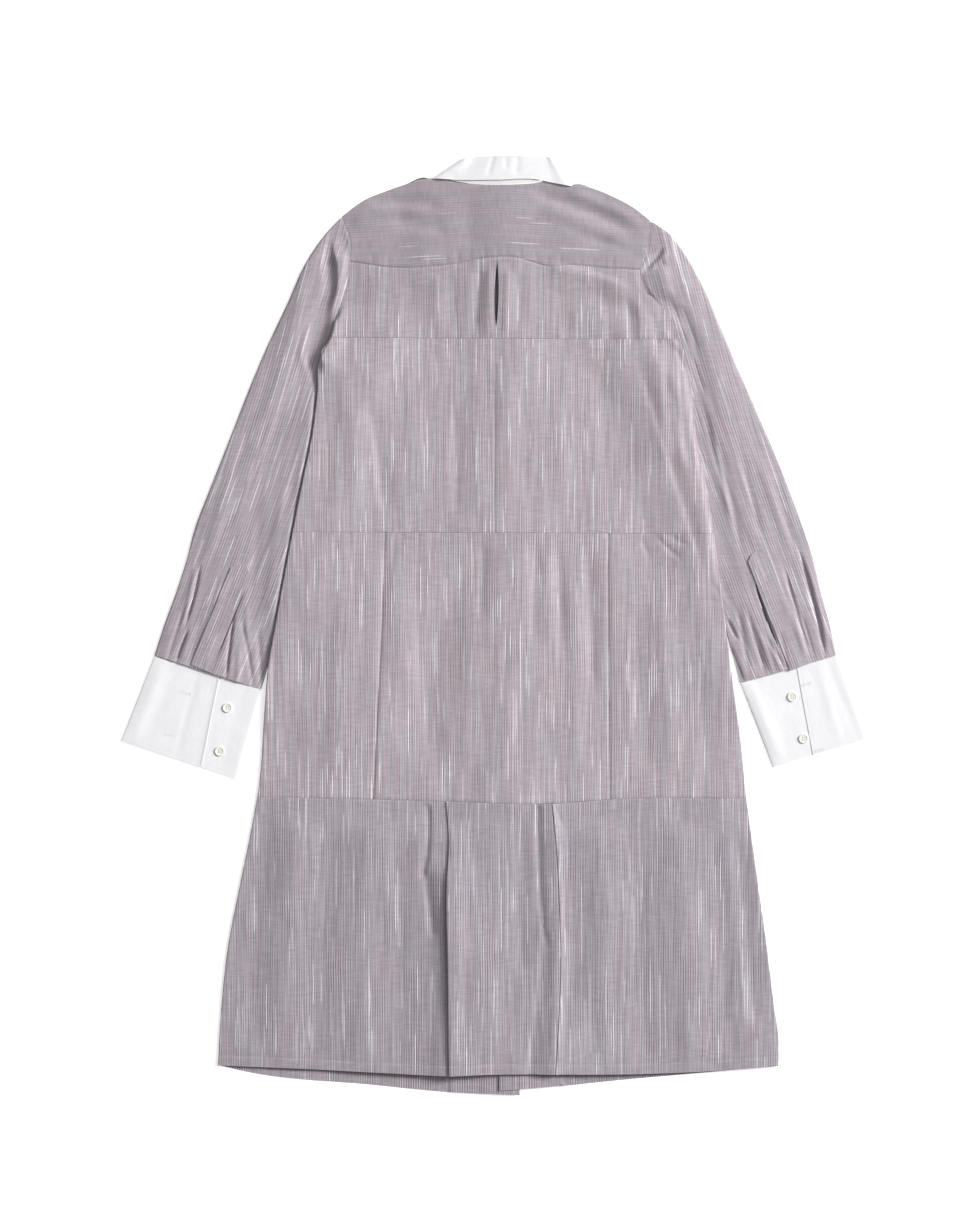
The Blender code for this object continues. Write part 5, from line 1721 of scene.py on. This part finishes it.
def sleeve_section(side, plan, along):
    """Return one row of a sleeve: over it, round its outer fold and under it."""
    ends = plan(np.array([0.0, 1.0]), along)
    width = np.linalg.norm(ends[1] - ends[0])
    line = (ends[1] - ends[0]) / width
    radius = (float(sleeve_height(side, 0.0, along, *ends[0])) - FLOOR_CLOTH) / 2
    closed = float(ease((CLOSED_FROM_Y - ends[1][1]) / CLOSED_RUN))
    reach = (SLEEVE_TOP - FLOOR_CLOTH) / 2
    layers = []
    for shares, upper in ((upper_shares(side, ends), True), (even(UNDER_COLUMNS), False)):
        share, _, angle = curl_lines(shares, False, True)
        offset = mix(radius, width - reach, share) + reach * np.cos(angle)
        place = ends[0] + line * offset[:, None]
        over = sleeve_height(side, offset / width, along, place[:, 0], place[:, 1])
        under = np.full_like(over, FLOOR_CLOTH)
        meeting = (over + under) / 2 + (CURL_GAP / 2 if upper else -CURL_GAP / 2)
        turned = closed * (1 - np.sin(angle))
        layers.append(np.column_stack([place, mix(over if upper else under, meeting, turned)]))
    middle = ends[0] + line * radius
    arc = [(*(middle - line * radius * np.sin(a)), FLOOR_CLOTH + radius * (1 + np.cos(a)))
           for a in SLEEVE_TURN]
    return np.concatenate([layers[0][::-1], arc, layers[1]])


print("columns on top of a sleeve:", SLEEVE_COLUMNS + SLIT_COLUMNS + 1)

# %% Make the sleeves
SLEEVE_STEP = 2.8
SLEEVE_TOP_Y = -470.0
TOP_LEAN = np.radians(13)
END_LEAN = np.radians(22)
LEAN_RUN = 1000
OUTER_FOLD = SLEEVE_COLUMNS + SLIT_COLUMNS + 1 + len(CURL_ANGLES) + len(SLEEVE_TURN) // 2
SLIT_GAP = 3.0
SLIT_ROUNDING = 0.6


def sleeve_points(side):
    """Return the grid of a sleeve, from the armhole to just above its cuff."""
    plan, length = sleeve_plan(side)
    rows = np.linspace(0, 1 - SEAM / length, round(length / SLEEVE_STEP))
    return np.array([sleeve_section(side, plan, along) for along in rows])


def sleeve_cut(points):
    """Return the cut of a sleeve, whose warp runs down it and bends with its elbow."""
    down = -points[..., 1] - SLEEVE_TOP_Y
    lean = np.tan(TOP_LEAN) * down + (np.tan(END_LEAN) - np.tan(TOP_LEAN)) * down**2 / LEAN_RUN
    outward = (np.abs(points[..., 0]) - lean) * np.cos(END_LEAN)
    under = np.arange(points.shape[1]) > OUTER_FOLD
    across = np.where(under, 2 * outward[:, OUTER_FOLD:OUTER_FOLD + 1] - outward, outward)
    return np.stack([across, down / np.cos(END_LEAN)], axis=-1)


def slit_faces(side, points):
    """Return which faces of a sleeve's upper layer lie in its slit."""
    centre = (points[1:, 1:] + points[:-1, :-1]) / 2
    aside, down = beside(SLEEVE_SLITS[side], centre[..., 0], centre[..., 1])
    open_width = SLIT_GAP * np.sin(np.pi * np.clip(down, 0, 1)) ** SLIT_ROUNDING
    upper = np.arange(centre.shape[1]) < SLEEVE_COLUMNS + SLIT_COLUMNS
    return (np.abs(aside) < open_width / 2) & (down > 0) & (down < 1) & upper


for side in EDGES:
    points = sleeve_points(side)
    cloth("sleeve_" + side, points, sleeve_cut(points), shirting["sleeve_" + side],
          slit=slit_faces(side, points))
print("sleeve grid:", grids["sleeve_left"].shape[:2])

# %% [markdown]
# ## Placket strips
# Above each cuff a narrow pointed strip binds one side of the sleeve's slit. It
# lies on the sleeve, so its height is the sleeve's own, raised by a shell.

# %% Plackets
PLACKETS = table(
    "side x0 y0 x1 y1 width point roundness",
    ("left", -288.3, 70.7, -338.0, -50.0, 24.0, 10.0, 1.0),
    ("right", 299.0, 83.9, 350.0, -48.0, 24.0, 8.0, 2.4),
)
PLACKET_ROWS = 56
PLACKET_COLUMNS = 14
PLACKET_EDGE = 3
PLACKET_STIFFNESS = 0.7
POINT_FADE = 6


def placket_points(strip):
    """Return the strip beside a sleeve's slit, pointed at the top, and its cut."""
    run = np.array([strip.x1 - strip.x0, strip.y1 - strip.y0])
    length = np.linalg.norm(run)
    down = run / length
    aside = np.array([-down[1], down[0]])
    across, along = np.meshgrid(np.linspace(-1, 1, PLACKET_COLUMNS + 1), even(PLACKET_ROWS))
    start = strip.point * np.abs(across) ** strip.roundness * (1 - along) ** POINT_FADE
    place = np.array([strip.x0, strip.y0]) + (along * length + start)[..., None] * down
    place = place + (across * strip.width / 2)[..., None] * aside
    x, y = place[..., 0], place[..., 1]
    z = sleeve_height(strip.side, 0.5 + 0 * x, along, x, y)
    inner = z[:, PLACKET_EDGE:-PLACKET_EDGE].mean(axis=1, keepdims=True)
    smooth = np.repeat(inner, z.shape[1], axis=1)
    z = np.maximum(z, mix(z, smooth, PLACKET_STIFFNESS)) + SHELL + SEAM / 2
    cut = np.stack([across * strip.width / 2, along * length], axis=-1)
    return np.stack([x, y, z], axis=-1), cut


for strip in PLACKETS:
    cloth("sleeve_placket_" + strip.side, *placket_points(strip), shirting["sleeve_" + strip.side])
print("placket strips:", len(PLACKETS))

# %% [markdown]
# ## The cuffs
# The white cuffs are unbuttoned and lie half open. A cuff is one long band: its tail
# lies inside, it turns at the inner fold, runs along the table, turns at the outer
# fold, and ends in the flap that shows on top.

# %% Cuffs
CUFF_WALL = 1.5
CUFF_SHELL = 0.5
CUFF_TURN_GAP = 0.2
CUFF_LAP_GAP = 0.1
CUFF_TURNS = np.radians((18, 36, 54, 72, 90, 108, 126, 144, 162, 180))
CUFF_LENGTH = 105.0
CUFF_STEP = 3.0
CUFF_CREASE_ENDS = 0.5
TAIL_POINTS = 27
FLOOR_POINTS = 13
FLAP_POINTS = 27
LIP_WIDTH = 2.4
CUFF_CREASES = table(
    "side across0 down0 across1 down1 width rise",
    ("left", 0.42, 0.02, 0.47, 1.0, 0.022, -0.5),
    ("left", 0.09, 0.0, 0.09, 1.0, 0.055, 1.0),
    ("left", 0.22, 0.10, 0.19, 0.95, 0.05, -0.3),
    ("left", 0.86, 0.05, 0.84, 0.90, 0.05, -0.3),
    ("right", 0.91, 0.0, 0.91, 1.0, 0.055, 1.2),
    ("right", 0.20, 0.05, 0.26, 0.95, 0.05, 0.5),
    ("right", 0.10, 0.05, 0.08, 0.95, 0.04, -0.4),
    ("right", 0.80, 0.10, 0.86, 0.90, 0.05, 0.3),
)


def cuff_path(width, tail, flap, lip):
    """Return a cuff's section from its tail, round below, to its flap's edge.

    Each point is a distance from the outer fold, a height and a share of crease.
    """
    floor_level = CUFF_SHELL / 2
    radius_low = (CUFF_WALL + CUFF_TURN_GAP) / 2
    tail_level = floor_level + 2 * radius_low
    flap_level = tail_level + CUFF_SHELL + CUFF_LAP_GAP
    radius_high = (flap_level - floor_level) / 2
    inner = width - radius_low
    lip_start = flap - LIP_WIDTH
    path = [(x, tail_level, 1.0) for x in mix(tail, inner, even(TAIL_POINTS - 1))]
    path += [(inner + radius_low * np.sin(a), floor_level + radius_low * (1 + np.cos(a)), 0.0)
             for a in CUFF_TURNS]
    path += [(x, floor_level, 0.0) for x in mix(inner, radius_high, even(FLOOR_POINTS - 1))[1:]]
    path += [(radius_high * (1 - np.sin(a)), floor_level + radius_high * (1 - np.cos(a)), 0.0)
             for a in CUFF_TURNS]
    for x in (*np.linspace(radius_high, lip_start, FLAP_POINTS)[1:], flap - LIP_WIDTH / 2, flap):
        path.append((x, flap_level + lip * ease(1 + (x - flap) / LIP_WIDTH), 1.0))
    return np.array(path)


print("points across a cuff:", len(cuff_path(150.0, 90.0, 80.0, 0.0)))

# %% Make the cuffs
cuff_shares = seam_lines(CUFF_LENGTH, CUFF_STEP)


def cuff_points(cuff):
    """Return the grid of one cuff, a row for each distance from the sleeve."""
    rows = []
    for share in cuff_shares:
        start = mix(np.array(cuff.outer_top), np.array(cuff.outer_end), share)
        end = mix(np.array(cuff.inner_top), np.array(cuff.inner_end), share)
        width = np.linalg.norm(end - start)
        flap = mix(cuff.flap_top, cuff.flap_end, share)
        path = cuff_path(width, cuff.tail * width, flap * width, cuff.lip)
        place = start + (end - start) / width * path[:, :1]
        across = path[:, 0] / width
        crease = 0.0 * across
        for row in CUFF_CREASES:
            if row.side == cuff.side:
                offset = across - mix(row.across0, row.across1, share)
                crease = crease + row.rise * bell(offset, row.width)
        z = path[:, 1] + crease * path[:, 2] * np.sin(np.pi * share) ** CUFF_CREASE_ENDS
        rows.append(np.column_stack([place, z]))
    return np.array(rows)


for cuff in CUFFS.values():
    points = cuff_points(cuff)
    along = np.broadcast_to(cuff_shares[:, None] * CUFF_LENGTH, points.shape[:2])
    cloth("cuff_" + cuff.side, points, np.stack([girth(points), along], axis=-1), poplin,
          CUFF_SHELL, "white_cloth")
print("cuff band length in mm:", round(float(girth(grids["cuff_left"]).max())))

# %% [markdown]
# ## The collar
# The stand goes round the neck and the fall turns down over it. From behind only
# the middle of the fall shows, with a strip of the stand under it; its points lie
# hidden under the fronts.

# %% Stations of the stand and the fall
STAND = table(
    "layer neck_x neck_y fold_x fold_y",
    (-1, 29, 435, 29, 463), (-1, 0, 438, 4, 464), (-1, -26, 452, -20, 480),
    (-1, -46, 482, -32, 508), (0, -68, 515, -38, 533), (1, -46, 509.5, -22, 535.5),
    (1, 3, 506, 12, 536.5), (1, 44, 509, 42, 535.5), (0, 66, 512.5, 58, 534),
    (-1, 59, 475, 54, 502), (-1, 37, 449, 36, 476), (-1, 18, 437, 18, 464),
    (-1, 5, 436, 5, 463),
)
FALL = table(
    "layer fold_x fold_y edge_x edge_y",
    (-1, 8, 465, -38, 403), (-1, -22, 480, -57, 432), (-1, -32, 509, -66, 470),
    (0, -40, 534.5, -73, 512.2), (1, -22, 537, -44, 510.8), (1, 12, 538, 3, 510.6),
    (1, 44, 537.5, 48, 511), (1, 58, 537, 66, 507.4), (0, 68, 536.5, 89.5, 503.6),
    (-1, 54, 503, 82, 466),
    (-1, 36, 477, 80, 430), (-1, 24, 465, 71, 403),
)
FALL_OFFSET = 1.9
FALL_EDGE_DROP = 0.35
FALL_CREASES = table(
    CREASE_COLUMNS,
    ("fall_one", -1, 540, -9, 515, 0, 1.8, 1.4, -0.8),
    ("fall_two", 12.6, 537, 12.2, 522, 0, 1.8, 1.4, -0.6),
    ("fall_three", 27, 538, 23, 516, 0, 3.4, 1, -0.7),
    ("fall_four", -30, 536, -46, 514, 0, 5, 1, 0.6),
)
print("stations of the collar:", len(STAND), "and", len(FALL))

# %% Heights and lines of the collar
NECK_LEVEL_Y = 500.0
COLLAR_TURNS = np.radians((-67.5, -22.5, 22.5, 67.5))
COLLAR_SHELL = 0.6


def stand_back(x, y):
    """Return the height of the collar stand on the back layer."""
    return back_base(x, np.minimum(y, NECK_LEVEL_Y))


def stand_front(x, y):
    """Return the height of the collar stand on the front layer."""
    return WALL / 2 + front_lift(x, np.minimum(y, NECK_LEVEL_Y))


def fall_back(x, y):
    """Return the height of the collar's fall on the back layer."""
    return stand_back(x, y) + FALL_OFFSET


def fall_edge_back(x, y):
    """Return the height of the fall's lower edge, which drops onto the back."""
    return fall_back(x, y) - FALL_EDGE_DROP


def fall_front(x, y):
    """Return the height of the collar's fall at the front, on the floor."""
    return COLLAR_SHELL / 2


def stations(rows, column, front_z, back_z):
    """Return the points of a collar line, whose x and y start at a column of a table.

    The line goes round the neck and turns at the side folds.
    """
    points = []
    for index, row in enumerate(rows):
        x, y = row[column:column + 2]
        if row.layer:
            z = front_z(x, y) if row.layer < 0 else back_z(x, y)
            points.append((x, y, float(z)))
            continue
        outward = -1 if x < COLLAR_CENTRE_X else 1
        low = float(front_z(x, y))
        high = float(back_z(x, y))
        radius = (high - low) / 2
        rising = rows[index - 1].layer < 0
        for a in COLLAR_TURNS if rising else -COLLAR_TURNS:
            shift = outward * radius * (np.cos(a) - 1)
            points.append((x + shift, y, (low + high) / 2 + radius * np.sin(a)))
    return np.array(points)


neck = stations(STAND, 1, stand_front, stand_back)
stand_top = stations(STAND, 3, stand_front, stand_back)
fall_top = stations(FALL, 1, fall_front, fall_back)
fall_edge = stations(FALL, 3, fall_front, fall_edge_back)
print("length of the neck line in mm:", round(float(distances(neck)[-1])))

# %% Make the stand and the fall
STAND_LAP = WALL + 0.4
STAND_LAP_START = 0.8
COLLAR_COLUMNS = 150
STAND_ROWS = 10
FALL_ROWS = 14
FALL_SHOWS_ABOVE = 3.5


def collar_sheet(first, last, count, lowest):
    """Return the grid between a collar's two lines, nowhere under its front part."""
    place = (shares_along(first) + shares_along(last)) / 2
    first = route(first, place)(even(COLLAR_COLUMNS))
    last = route(last, place)(even(COLLAR_COLUMNS))
    points = np.array([mix(first, last, share) for share in even(count)])
    points[..., 2] = np.maximum(points[..., 2], lowest(points[..., 0], points[..., 1]))
    return points


for line in (neck, stand_top):
    line[-1, 2] += STAND_LAP
    line[-2, 2] += STAND_LAP * STAND_LAP_START
stand = collar_sheet(neck, stand_top, STAND_ROWS, stand_front)
fall = collar_sheet(fall_top, fall_edge, FALL_ROWS, fall_front)
shown = ease(fall[..., 2] - FALL_SHOWS_ABOVE)
fall[..., 2] += shown * crease_height(FALL_CREASES, fall[..., 0], fall[..., 1])
for node, points, finish in (("collar_stand", stand, poplin_stand), ("collar_fall", fall, poplin)):
    down = np.linalg.norm(points - points[:1], axis=-1)
    cut = np.stack([girth(points), down], axis=-1)
    cloth(node, points, cut, finish, COLLAR_SHELL, "white_cloth")
print("collar length in mm:", round(float(girth(grids["collar_fall"])[0].max())))

# %% [markdown]
# ## Buttons
# A shirt button is a small disc with a raised rim, a shallow dish and four holes. It
# is turned and drilled in the factory, and it is made the same way here: a cylinder,
# its top face inset and sunk, its edges bevelled, and four holes cut with a Boolean.
# One button is modelled, and each of the others is a copy with its own mesh.

# %% Button finish
RESIN_ROUGHNESS = (0.22, 0.36)


def button_finish():
    """Return the pale cream resin of the buttons, with its faint clouds."""
    material, tree, shader = new_finish("button_cream", {"Coat Weight": 0.3})
    place = add_node(tree, "ShaderNodeTexCoord")
    cloud = add_node(tree, "ShaderNodeTexNoise")
    set_sockets(cloud, {"Scale": 260.0, "Detail": 3.0, "Distortion": 1.5})
    tree.links.new(place.outputs["Object"], cloud.inputs["Vector"])
    stops = ((0.35, screen(234, 231, 221)), (0.65, screen(245, 243, 237)))
    tree.links.new(ramp(tree, cloud.outputs["Fac"], stops), shader.inputs["Base Color"])
    rough = remap(tree, cloud.outputs["Fac"], *MIDDLE, *RESIN_ROUGHNESS)
    tree.links.new(rough, shader.inputs["Roughness"])
    return material


cream = button_finish()
print("button finish:", cream.name)

# %% Model one button
BUTTON_WIDTH = 11.0
BUTTON_HEIGHT = 1.35
BUTTON_SIDES = 40
RIM_WIDTH = 1.5
DISH_DEPTH = 0.4
RIM_BEVEL = 0.35
RIM_SMOOTH_ANGLE = np.radians(40)
HOLE_RADIUS = 0.65
HOLE_OFFSET = 1.25
HOLE_SIDES = 14


def select_top(piece, level):
    """Select the faces of a piece that look up at a height in mm."""
    bpy.ops.object.mode_set(mode="OBJECT")
    for face in piece.data.polygons:
        face.select = face.normal.z > 0.9 and abs(face.center.z - level * MM) < 0.05 * MM
    bpy.ops.object.mode_set(mode="EDIT")


def model_button():
    """Model a button that stands on the origin."""
    deselect()
    bpy.ops.mesh.primitive_cylinder_add(
        vertices=BUTTON_SIDES, radius=BUTTON_WIDTH / 2 * MM, depth=BUTTON_HEIGHT * MM,
        location=(0, 0, BUTTON_HEIGHT / 2 * MM))
    disc = bpy.context.object
    bpy.ops.object.transform_apply(location=True)
    bpy.ops.object.mode_set(mode="EDIT")
    bpy.ops.mesh.select_mode(type="FACE")
    select_top(disc, BUTTON_HEIGHT)
    bpy.ops.mesh.inset(thickness=RIM_WIDTH * MM)
    bpy.ops.mesh.inset(thickness=DISH_DEPTH * MM, depth=-DISH_DEPTH * MM)
    bpy.ops.object.mode_set(mode="OBJECT")
    edge = disc.modifiers.new("rounded", "BEVEL")
    edge.width = RIM_BEVEL * MM
    edge.segments = 3
    bpy.ops.object.modifier_apply(modifier=edge.name)
    for across in (-HOLE_OFFSET, HOLE_OFFSET):
        for down in (-HOLE_OFFSET, HOLE_OFFSET):
            deselect()
            bpy.ops.mesh.primitive_cylinder_add(
                vertices=HOLE_SIDES, radius=HOLE_RADIUS * MM, depth=3 * BUTTON_HEIGHT * MM,
                location=(across * MM, down * MM, 0))
            drill = bpy.context.object
            deselect()
            bpy.context.view_layer.objects.active = disc
            disc.select_set(True)
            hole = disc.modifiers.new("hole", "BOOLEAN")
            hole.object = drill
            hole.operation = "DIFFERENCE"
            bpy.ops.object.modifier_apply(modifier=hole.name)
            bpy.data.objects.remove(drill)
    bpy.ops.object.shade_smooth_by_angle(angle=RIM_SMOOTH_ANGLE)
    disc.data.materials.clear()
    disc.data.materials.append(cream)
    return disc


def triangles_of(piece):
    """Return how many triangles a piece has."""
    return sum(len(face.vertices) - 2 for face in piece.data.polygons)


one_button = model_button()
print("triangles in a button:", triangles_of(one_button))

# %% [markdown]
# ## Thread
# Stitches are tiny, so each is a squashed icosphere of 20 faces, and a whole row of
# them is one joined mesh. The first is modelled with operators, and its points are
# then repeated along the line to be sewn, turned to the line's direction.

# %% Model one stitch and repeat it
STITCH_PITCH = 2.8
STITCH_LENGTH = 2.2
STITCH_THICKNESS = 2.0
STITCH_SHAPE = (1.0, 0.26, 0.2)
STITCH_HALF = 0.8
THREAD_LIFT = 0.05
STRIPED_LIFT = SHELL / 2 + THREAD_LIFT
WHITE_LIFT = CUFF_SHELL / 2 + THREAD_LIFT


def model_stitch():
    """Return the points and faces of one stitch, 1 mm long, along X."""
    deselect()
    bpy.ops.mesh.primitive_ico_sphere_add(subdivisions=1, radius=0.5)
    stitch = bpy.context.object
    bpy.ops.object.mode_set(mode="EDIT")
    bpy.ops.transform.resize(value=STITCH_SHAPE)
    bpy.ops.object.mode_set(mode="OBJECT")
    points = np.array([vertex.co[:] for vertex in stitch.data.vertices])
    faces = np.array([face.vertices[:] for face in stitch.data.polygons])
    bpy.data.objects.remove(stitch)
    return points, faces


stitch_points, stitch_faces = model_stitch()


def sew(name, places, headings, finish, slot, length=STITCH_LENGTH, thickness=STITCH_THICKNESS):
    """Make one mesh of stitches at places in mm, each turned to its heading."""
    places = np.asarray(places, dtype=float)
    along = np.asarray(headings, dtype=float)
    along = along / np.linalg.norm(along, axis=1, keepdims=True)
    aside = np.cross((0.0, 0.0, 1.0), along)
    aside = aside / np.linalg.norm(aside, axis=1, keepdims=True)
    up = np.cross(along, aside)
    size = stitch_points * (length, thickness, thickness)
    points = places[:, None] + (
        size[None, :, :1] * along[:, None] + size[None, :, 1:2] * aside[:, None]
        + size[None, :, 2:] * up[:, None])
    faces = stitch_faces[None] + (np.arange(len(places)) * len(stitch_points))[:, None, None]
    mesh = bpy.data.meshes.new(name)
    mesh.from_pydata((points.reshape(-1, 3) * MM).tolist(), [], faces.reshape(-1, 3).tolist())
    mesh.update()
    mesh.materials.append(finish)
    piece = put_in_scene(name, mesh)
    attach(piece, "root")


print("triangles in a stitch:", len(stitch_faces))

# %% Sew along a line


def sew_along(name, lines, finish, slot="striped_cloth", lift=STRIPED_LIFT):
    """Sew stitches along lines of points in mm, which lie on the cloth's middle."""
    places = []
    headings = []
    for line in lines:
        reach = distances(line)
        count = int(reach[-1] / STITCH_PITCH)
        for start in (np.arange(count) + 0.5) * reach[-1] / count:
            ends = [[np.interp(start + half, reach, line[:, k]) for k in range(3)]
                    for half in (-STITCH_HALF, STITCH_HALF)]
            places.append(np.mean(ends, axis=0) + (0, 0, lift))
            headings.append(np.subtract(ends[1], ends[0]))
    sew(name, places, headings, finish, slot)


print("stitches in 100 mm:", int(100 / STITCH_PITCH))

# %% Where the seams are sewn
TOPSTITCH = 1.8
FRONT_HEM = 10.0
PLACKET_STITCH = 1.4


def edge_line(points, edge, distance, trim=0):
    """Return the line on a grid that runs at a distance from one of its edges."""
    turned = {
        "bottom": points, "top": points[::-1],
        "left": points.swapaxes(0, 1), "right": points.swapaxes(0, 1)[::-1],
    }[edge]
    reach = distances(turned)
    return np.array([
        [np.interp(distance, reach[:, i], turned[:, i, k]) for k in range(3)]
        for i in range(trim, turned.shape[1] - trim)])


def on_top(line):
    """Return the parts of a pleated line that show from above."""
    shows = np.append(line[:-1, 0] < np.minimum.accumulate(line[::-1, 0])[::-1][1:], True)
    ends = np.flatnonzero(np.diff(np.concatenate([[0], shows.astype(int), [0]])))
    return [line[a:b] for a, b in ends.reshape(-1, 2) if b - a > 2]


SEAMS = table(
    "name grid edge distance trim",
    ("stitches_yoke", "yoke", "bottom", TOPSTITCH, 2),
    ("stitches_armhole_left", "yoke", "left", TOPSTITCH, 8),
    ("stitches_armhole_right", "yoke", "right", TOPSTITCH, 8),
    ("stitches_side_left", "back_upper_left", "left", TOPSTITCH, 3),
    ("stitches_side_right", "back_upper_right", "right", TOPSTITCH, 3),
    ("stitches_slit_left", "back_upper_left", "right", TOPSTITCH, 3),
    ("stitches_slit_right", "back_upper_right", "left", TOPSTITCH, 3),
    ("stitches_band_left", "back_bodice_left", "top", TOPSTITCH, 6),
    ("stitches_band_right", "back_bodice_right", "top", TOPSTITCH, 6),
    ("stitches_waist_left", "skirt_back_left", "top", TOPSTITCH, 6),
    ("stitches_waist_centre", "skirt_back_centre", "top", TOPSTITCH, 1),
    ("stitches_waist_right", "skirt_back_right", "top", TOPSTITCH, 6),
    ("stitches_front_left", "front_flounce_left", "bottom", FRONT_HEM, 6),
    ("stitches_front_right", "front_flounce_right", "bottom", FRONT_HEM, 6),
    *((f"stitches_placket_{side}{end}", "sleeve_placket_" + side, edge, PLACKET_STITCH, 0)
      for side in EDGES
      for end, edge in (("", "left"), ("_outer", "right"), ("_point", "bottom"))),
)
for seam in SEAMS:
    line = edge_line(grids[seam.grid], seam.edge, seam.distance, seam.trim)
    sew_along(seam.name, [line], grey_thread)
for name, edge, distance in (
        ("stitches_flounce", "top", TOPSTITCH), ("stitches_hem", "bottom", HEM_DEPTH)):
    line = edge_line(grids["flounce_back"], edge, distance, 6)
    sew_along(name, on_top(line), grey_thread)
print("rows of stitches:", len(SEAMS) + 2)

# %% White thread on the collar and cuffs
EDGE_STITCH = 5.0
COLLAR_STITCH_REACH = 60
COLLAR_STITCH_ABOVE = 4
for side in EDGES:
    grid = grids["cuff_" + side]
    bottom = edge_line(grid, "top", EDGE_STITCH)
    top = edge_line(grid, "bottom", EDGE_STITCH)
    flap_edge = edge_line(grid, "right", EDGE_STITCH)
    lines = [line[:TAIL_POINTS] for line in (bottom, top)]
    lines += [line[-FLAP_POINTS:] for line in (bottom, top)] + [flap_edge]
    sew_along("stitches_cuff_" + side, lines, white_thread, "white_cloth", WHITE_LIFT)
fall_line = edge_line(grids["collar_fall"], "top", EDGE_STITCH)
near = np.abs(fall_line[:, 0] - COLLAR_CENTRE_X) < COLLAR_STITCH_REACH
shows = near & (fall_line[:, 2] > COLLAR_STITCH_ABOVE)
sew_along("stitches_collar", [fall_line[shows]], white_thread, "white_cloth", WHITE_LIFT)
print("points of the collar's stitch line:", int(shows.sum()))

# %% Put the buttons in place
BUTTONS = table(
    "node x y on",
    ("cuff_button_left_upper", -307.5, -95, "cuff_left"),
    ("cuff_button_left_lower", -316.5, -145, "cuff_left"),
    ("cuff_button_right_upper", 341.5, -82.5, "cuff_right"),
    ("cuff_button_right_lower", 354.5, -130.5, "cuff_right"),
    ("collar_button", CLOSING_X, 447, None),
    *((f"front_button_{i + 1}", CLOSING_X, 335 - 100 * i, None) for i in range(8)),
)
TOP_REACH = 4.0
BAR_SIZE = 3.4
BAR_LIFT = 0.15


def top_at(grid, x, y):
    """Return the height of a grid's uppermost cloth near a place."""
    near = np.hypot(grid[..., 0] - x, grid[..., 1] - y) < TOP_REACH
    return float(grid[..., 2][near].max())


def put_button(row):
    """Copy the button to its place and return where its two bars of thread go."""
    bottom = top_at(grids[row.on], row.x, row.y) + CUFF_SHELL / 2 + THREAD_LIFT if row.on else 0.0
    mesh = one_button.data.copy()
    mesh.transform(Matrix.Translation(Vector((row.x, row.y, bottom)) * MM))
    piece = put_in_scene(row.node + "_disc", mesh)
    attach(piece, "root")
    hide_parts(row.node)
    level = bottom + BUTTON_HEIGHT - DISH_DEPTH + BAR_LIFT
    return [(row.x, row.y + down, level) for down in (-HOLE_OFFSET, HOLE_OFFSET)]


bars = [place for row in BUTTONS for place in put_button(row)]
bpy.data.objects.remove(one_button)
sew("button_threads", bars, [(1.0, 0.0, 0.0)] * len(bars), white_thread, "white_cloth",
    BAR_SIZE, BAR_SIZE)
print("buttons:", len(BUTTONS))

# %% Sew the buttonholes
BUTTONHOLES = table(
    "name x y heading on",
    ("buttonhole_left_upper", -355, -78, -16, "cuff_left"),
    ("buttonhole_left_lower", -373, -126, -16, "cuff_left"),
    ("buttonhole_right_upper", 358, -68, 17, "cuff_right"),
    ("buttonhole_right_lower", 372.5, -144, 17, "cuff_right"),
)
HOLE_LENGTH = 12.0
HOLE_PITCH = 0.7
HOLE_HALF_WIDTH = 0.9
HOLE_STITCH = (1.6, 2.2)
count = int(HOLE_LENGTH / HOLE_PITCH)
for row in BUTTONHOLES:
    heading = np.radians(row.heading)
    run = np.array([np.cos(heading), np.sin(heading)])
    across = np.array([-run[1], run[0]])
    level = top_at(grids[row.on], row.x, row.y) + WHITE_LIFT
    places = [(*(np.array([row.x, row.y]) + run * along + across * aside), level)
              for along in np.linspace(-HOLE_LENGTH / 2, HOLE_LENGTH / 2, count)
              for aside in (-HOLE_HALF_WIDTH, HOLE_HALF_WIDTH)]
    sew(row.name, places, [(*across, 0.0)] * len(places), white_thread, "white_cloth",
        *HOLE_STITCH)
print("buttonholes:", len(BUTTONHOLES))
pieces = [piece for piece in bpy.context.scene.objects if piece.type == "MESH"]
triangles = [triangles_of(piece) for piece in pieces]
print("triangles in all:", sum(triangles), "most in one:", max(triangles))

# %% [markdown]
# Each piece of cloth states the size that it was cut to. The cut is measured on the
# grid itself, through the middle of the cloth.

# %% Sheets
for piece, width, length, area in made_pieces:
    print(piece.name, "cut", round(width, 3), "by", round(length, 3), "m, area", round(area, 4))
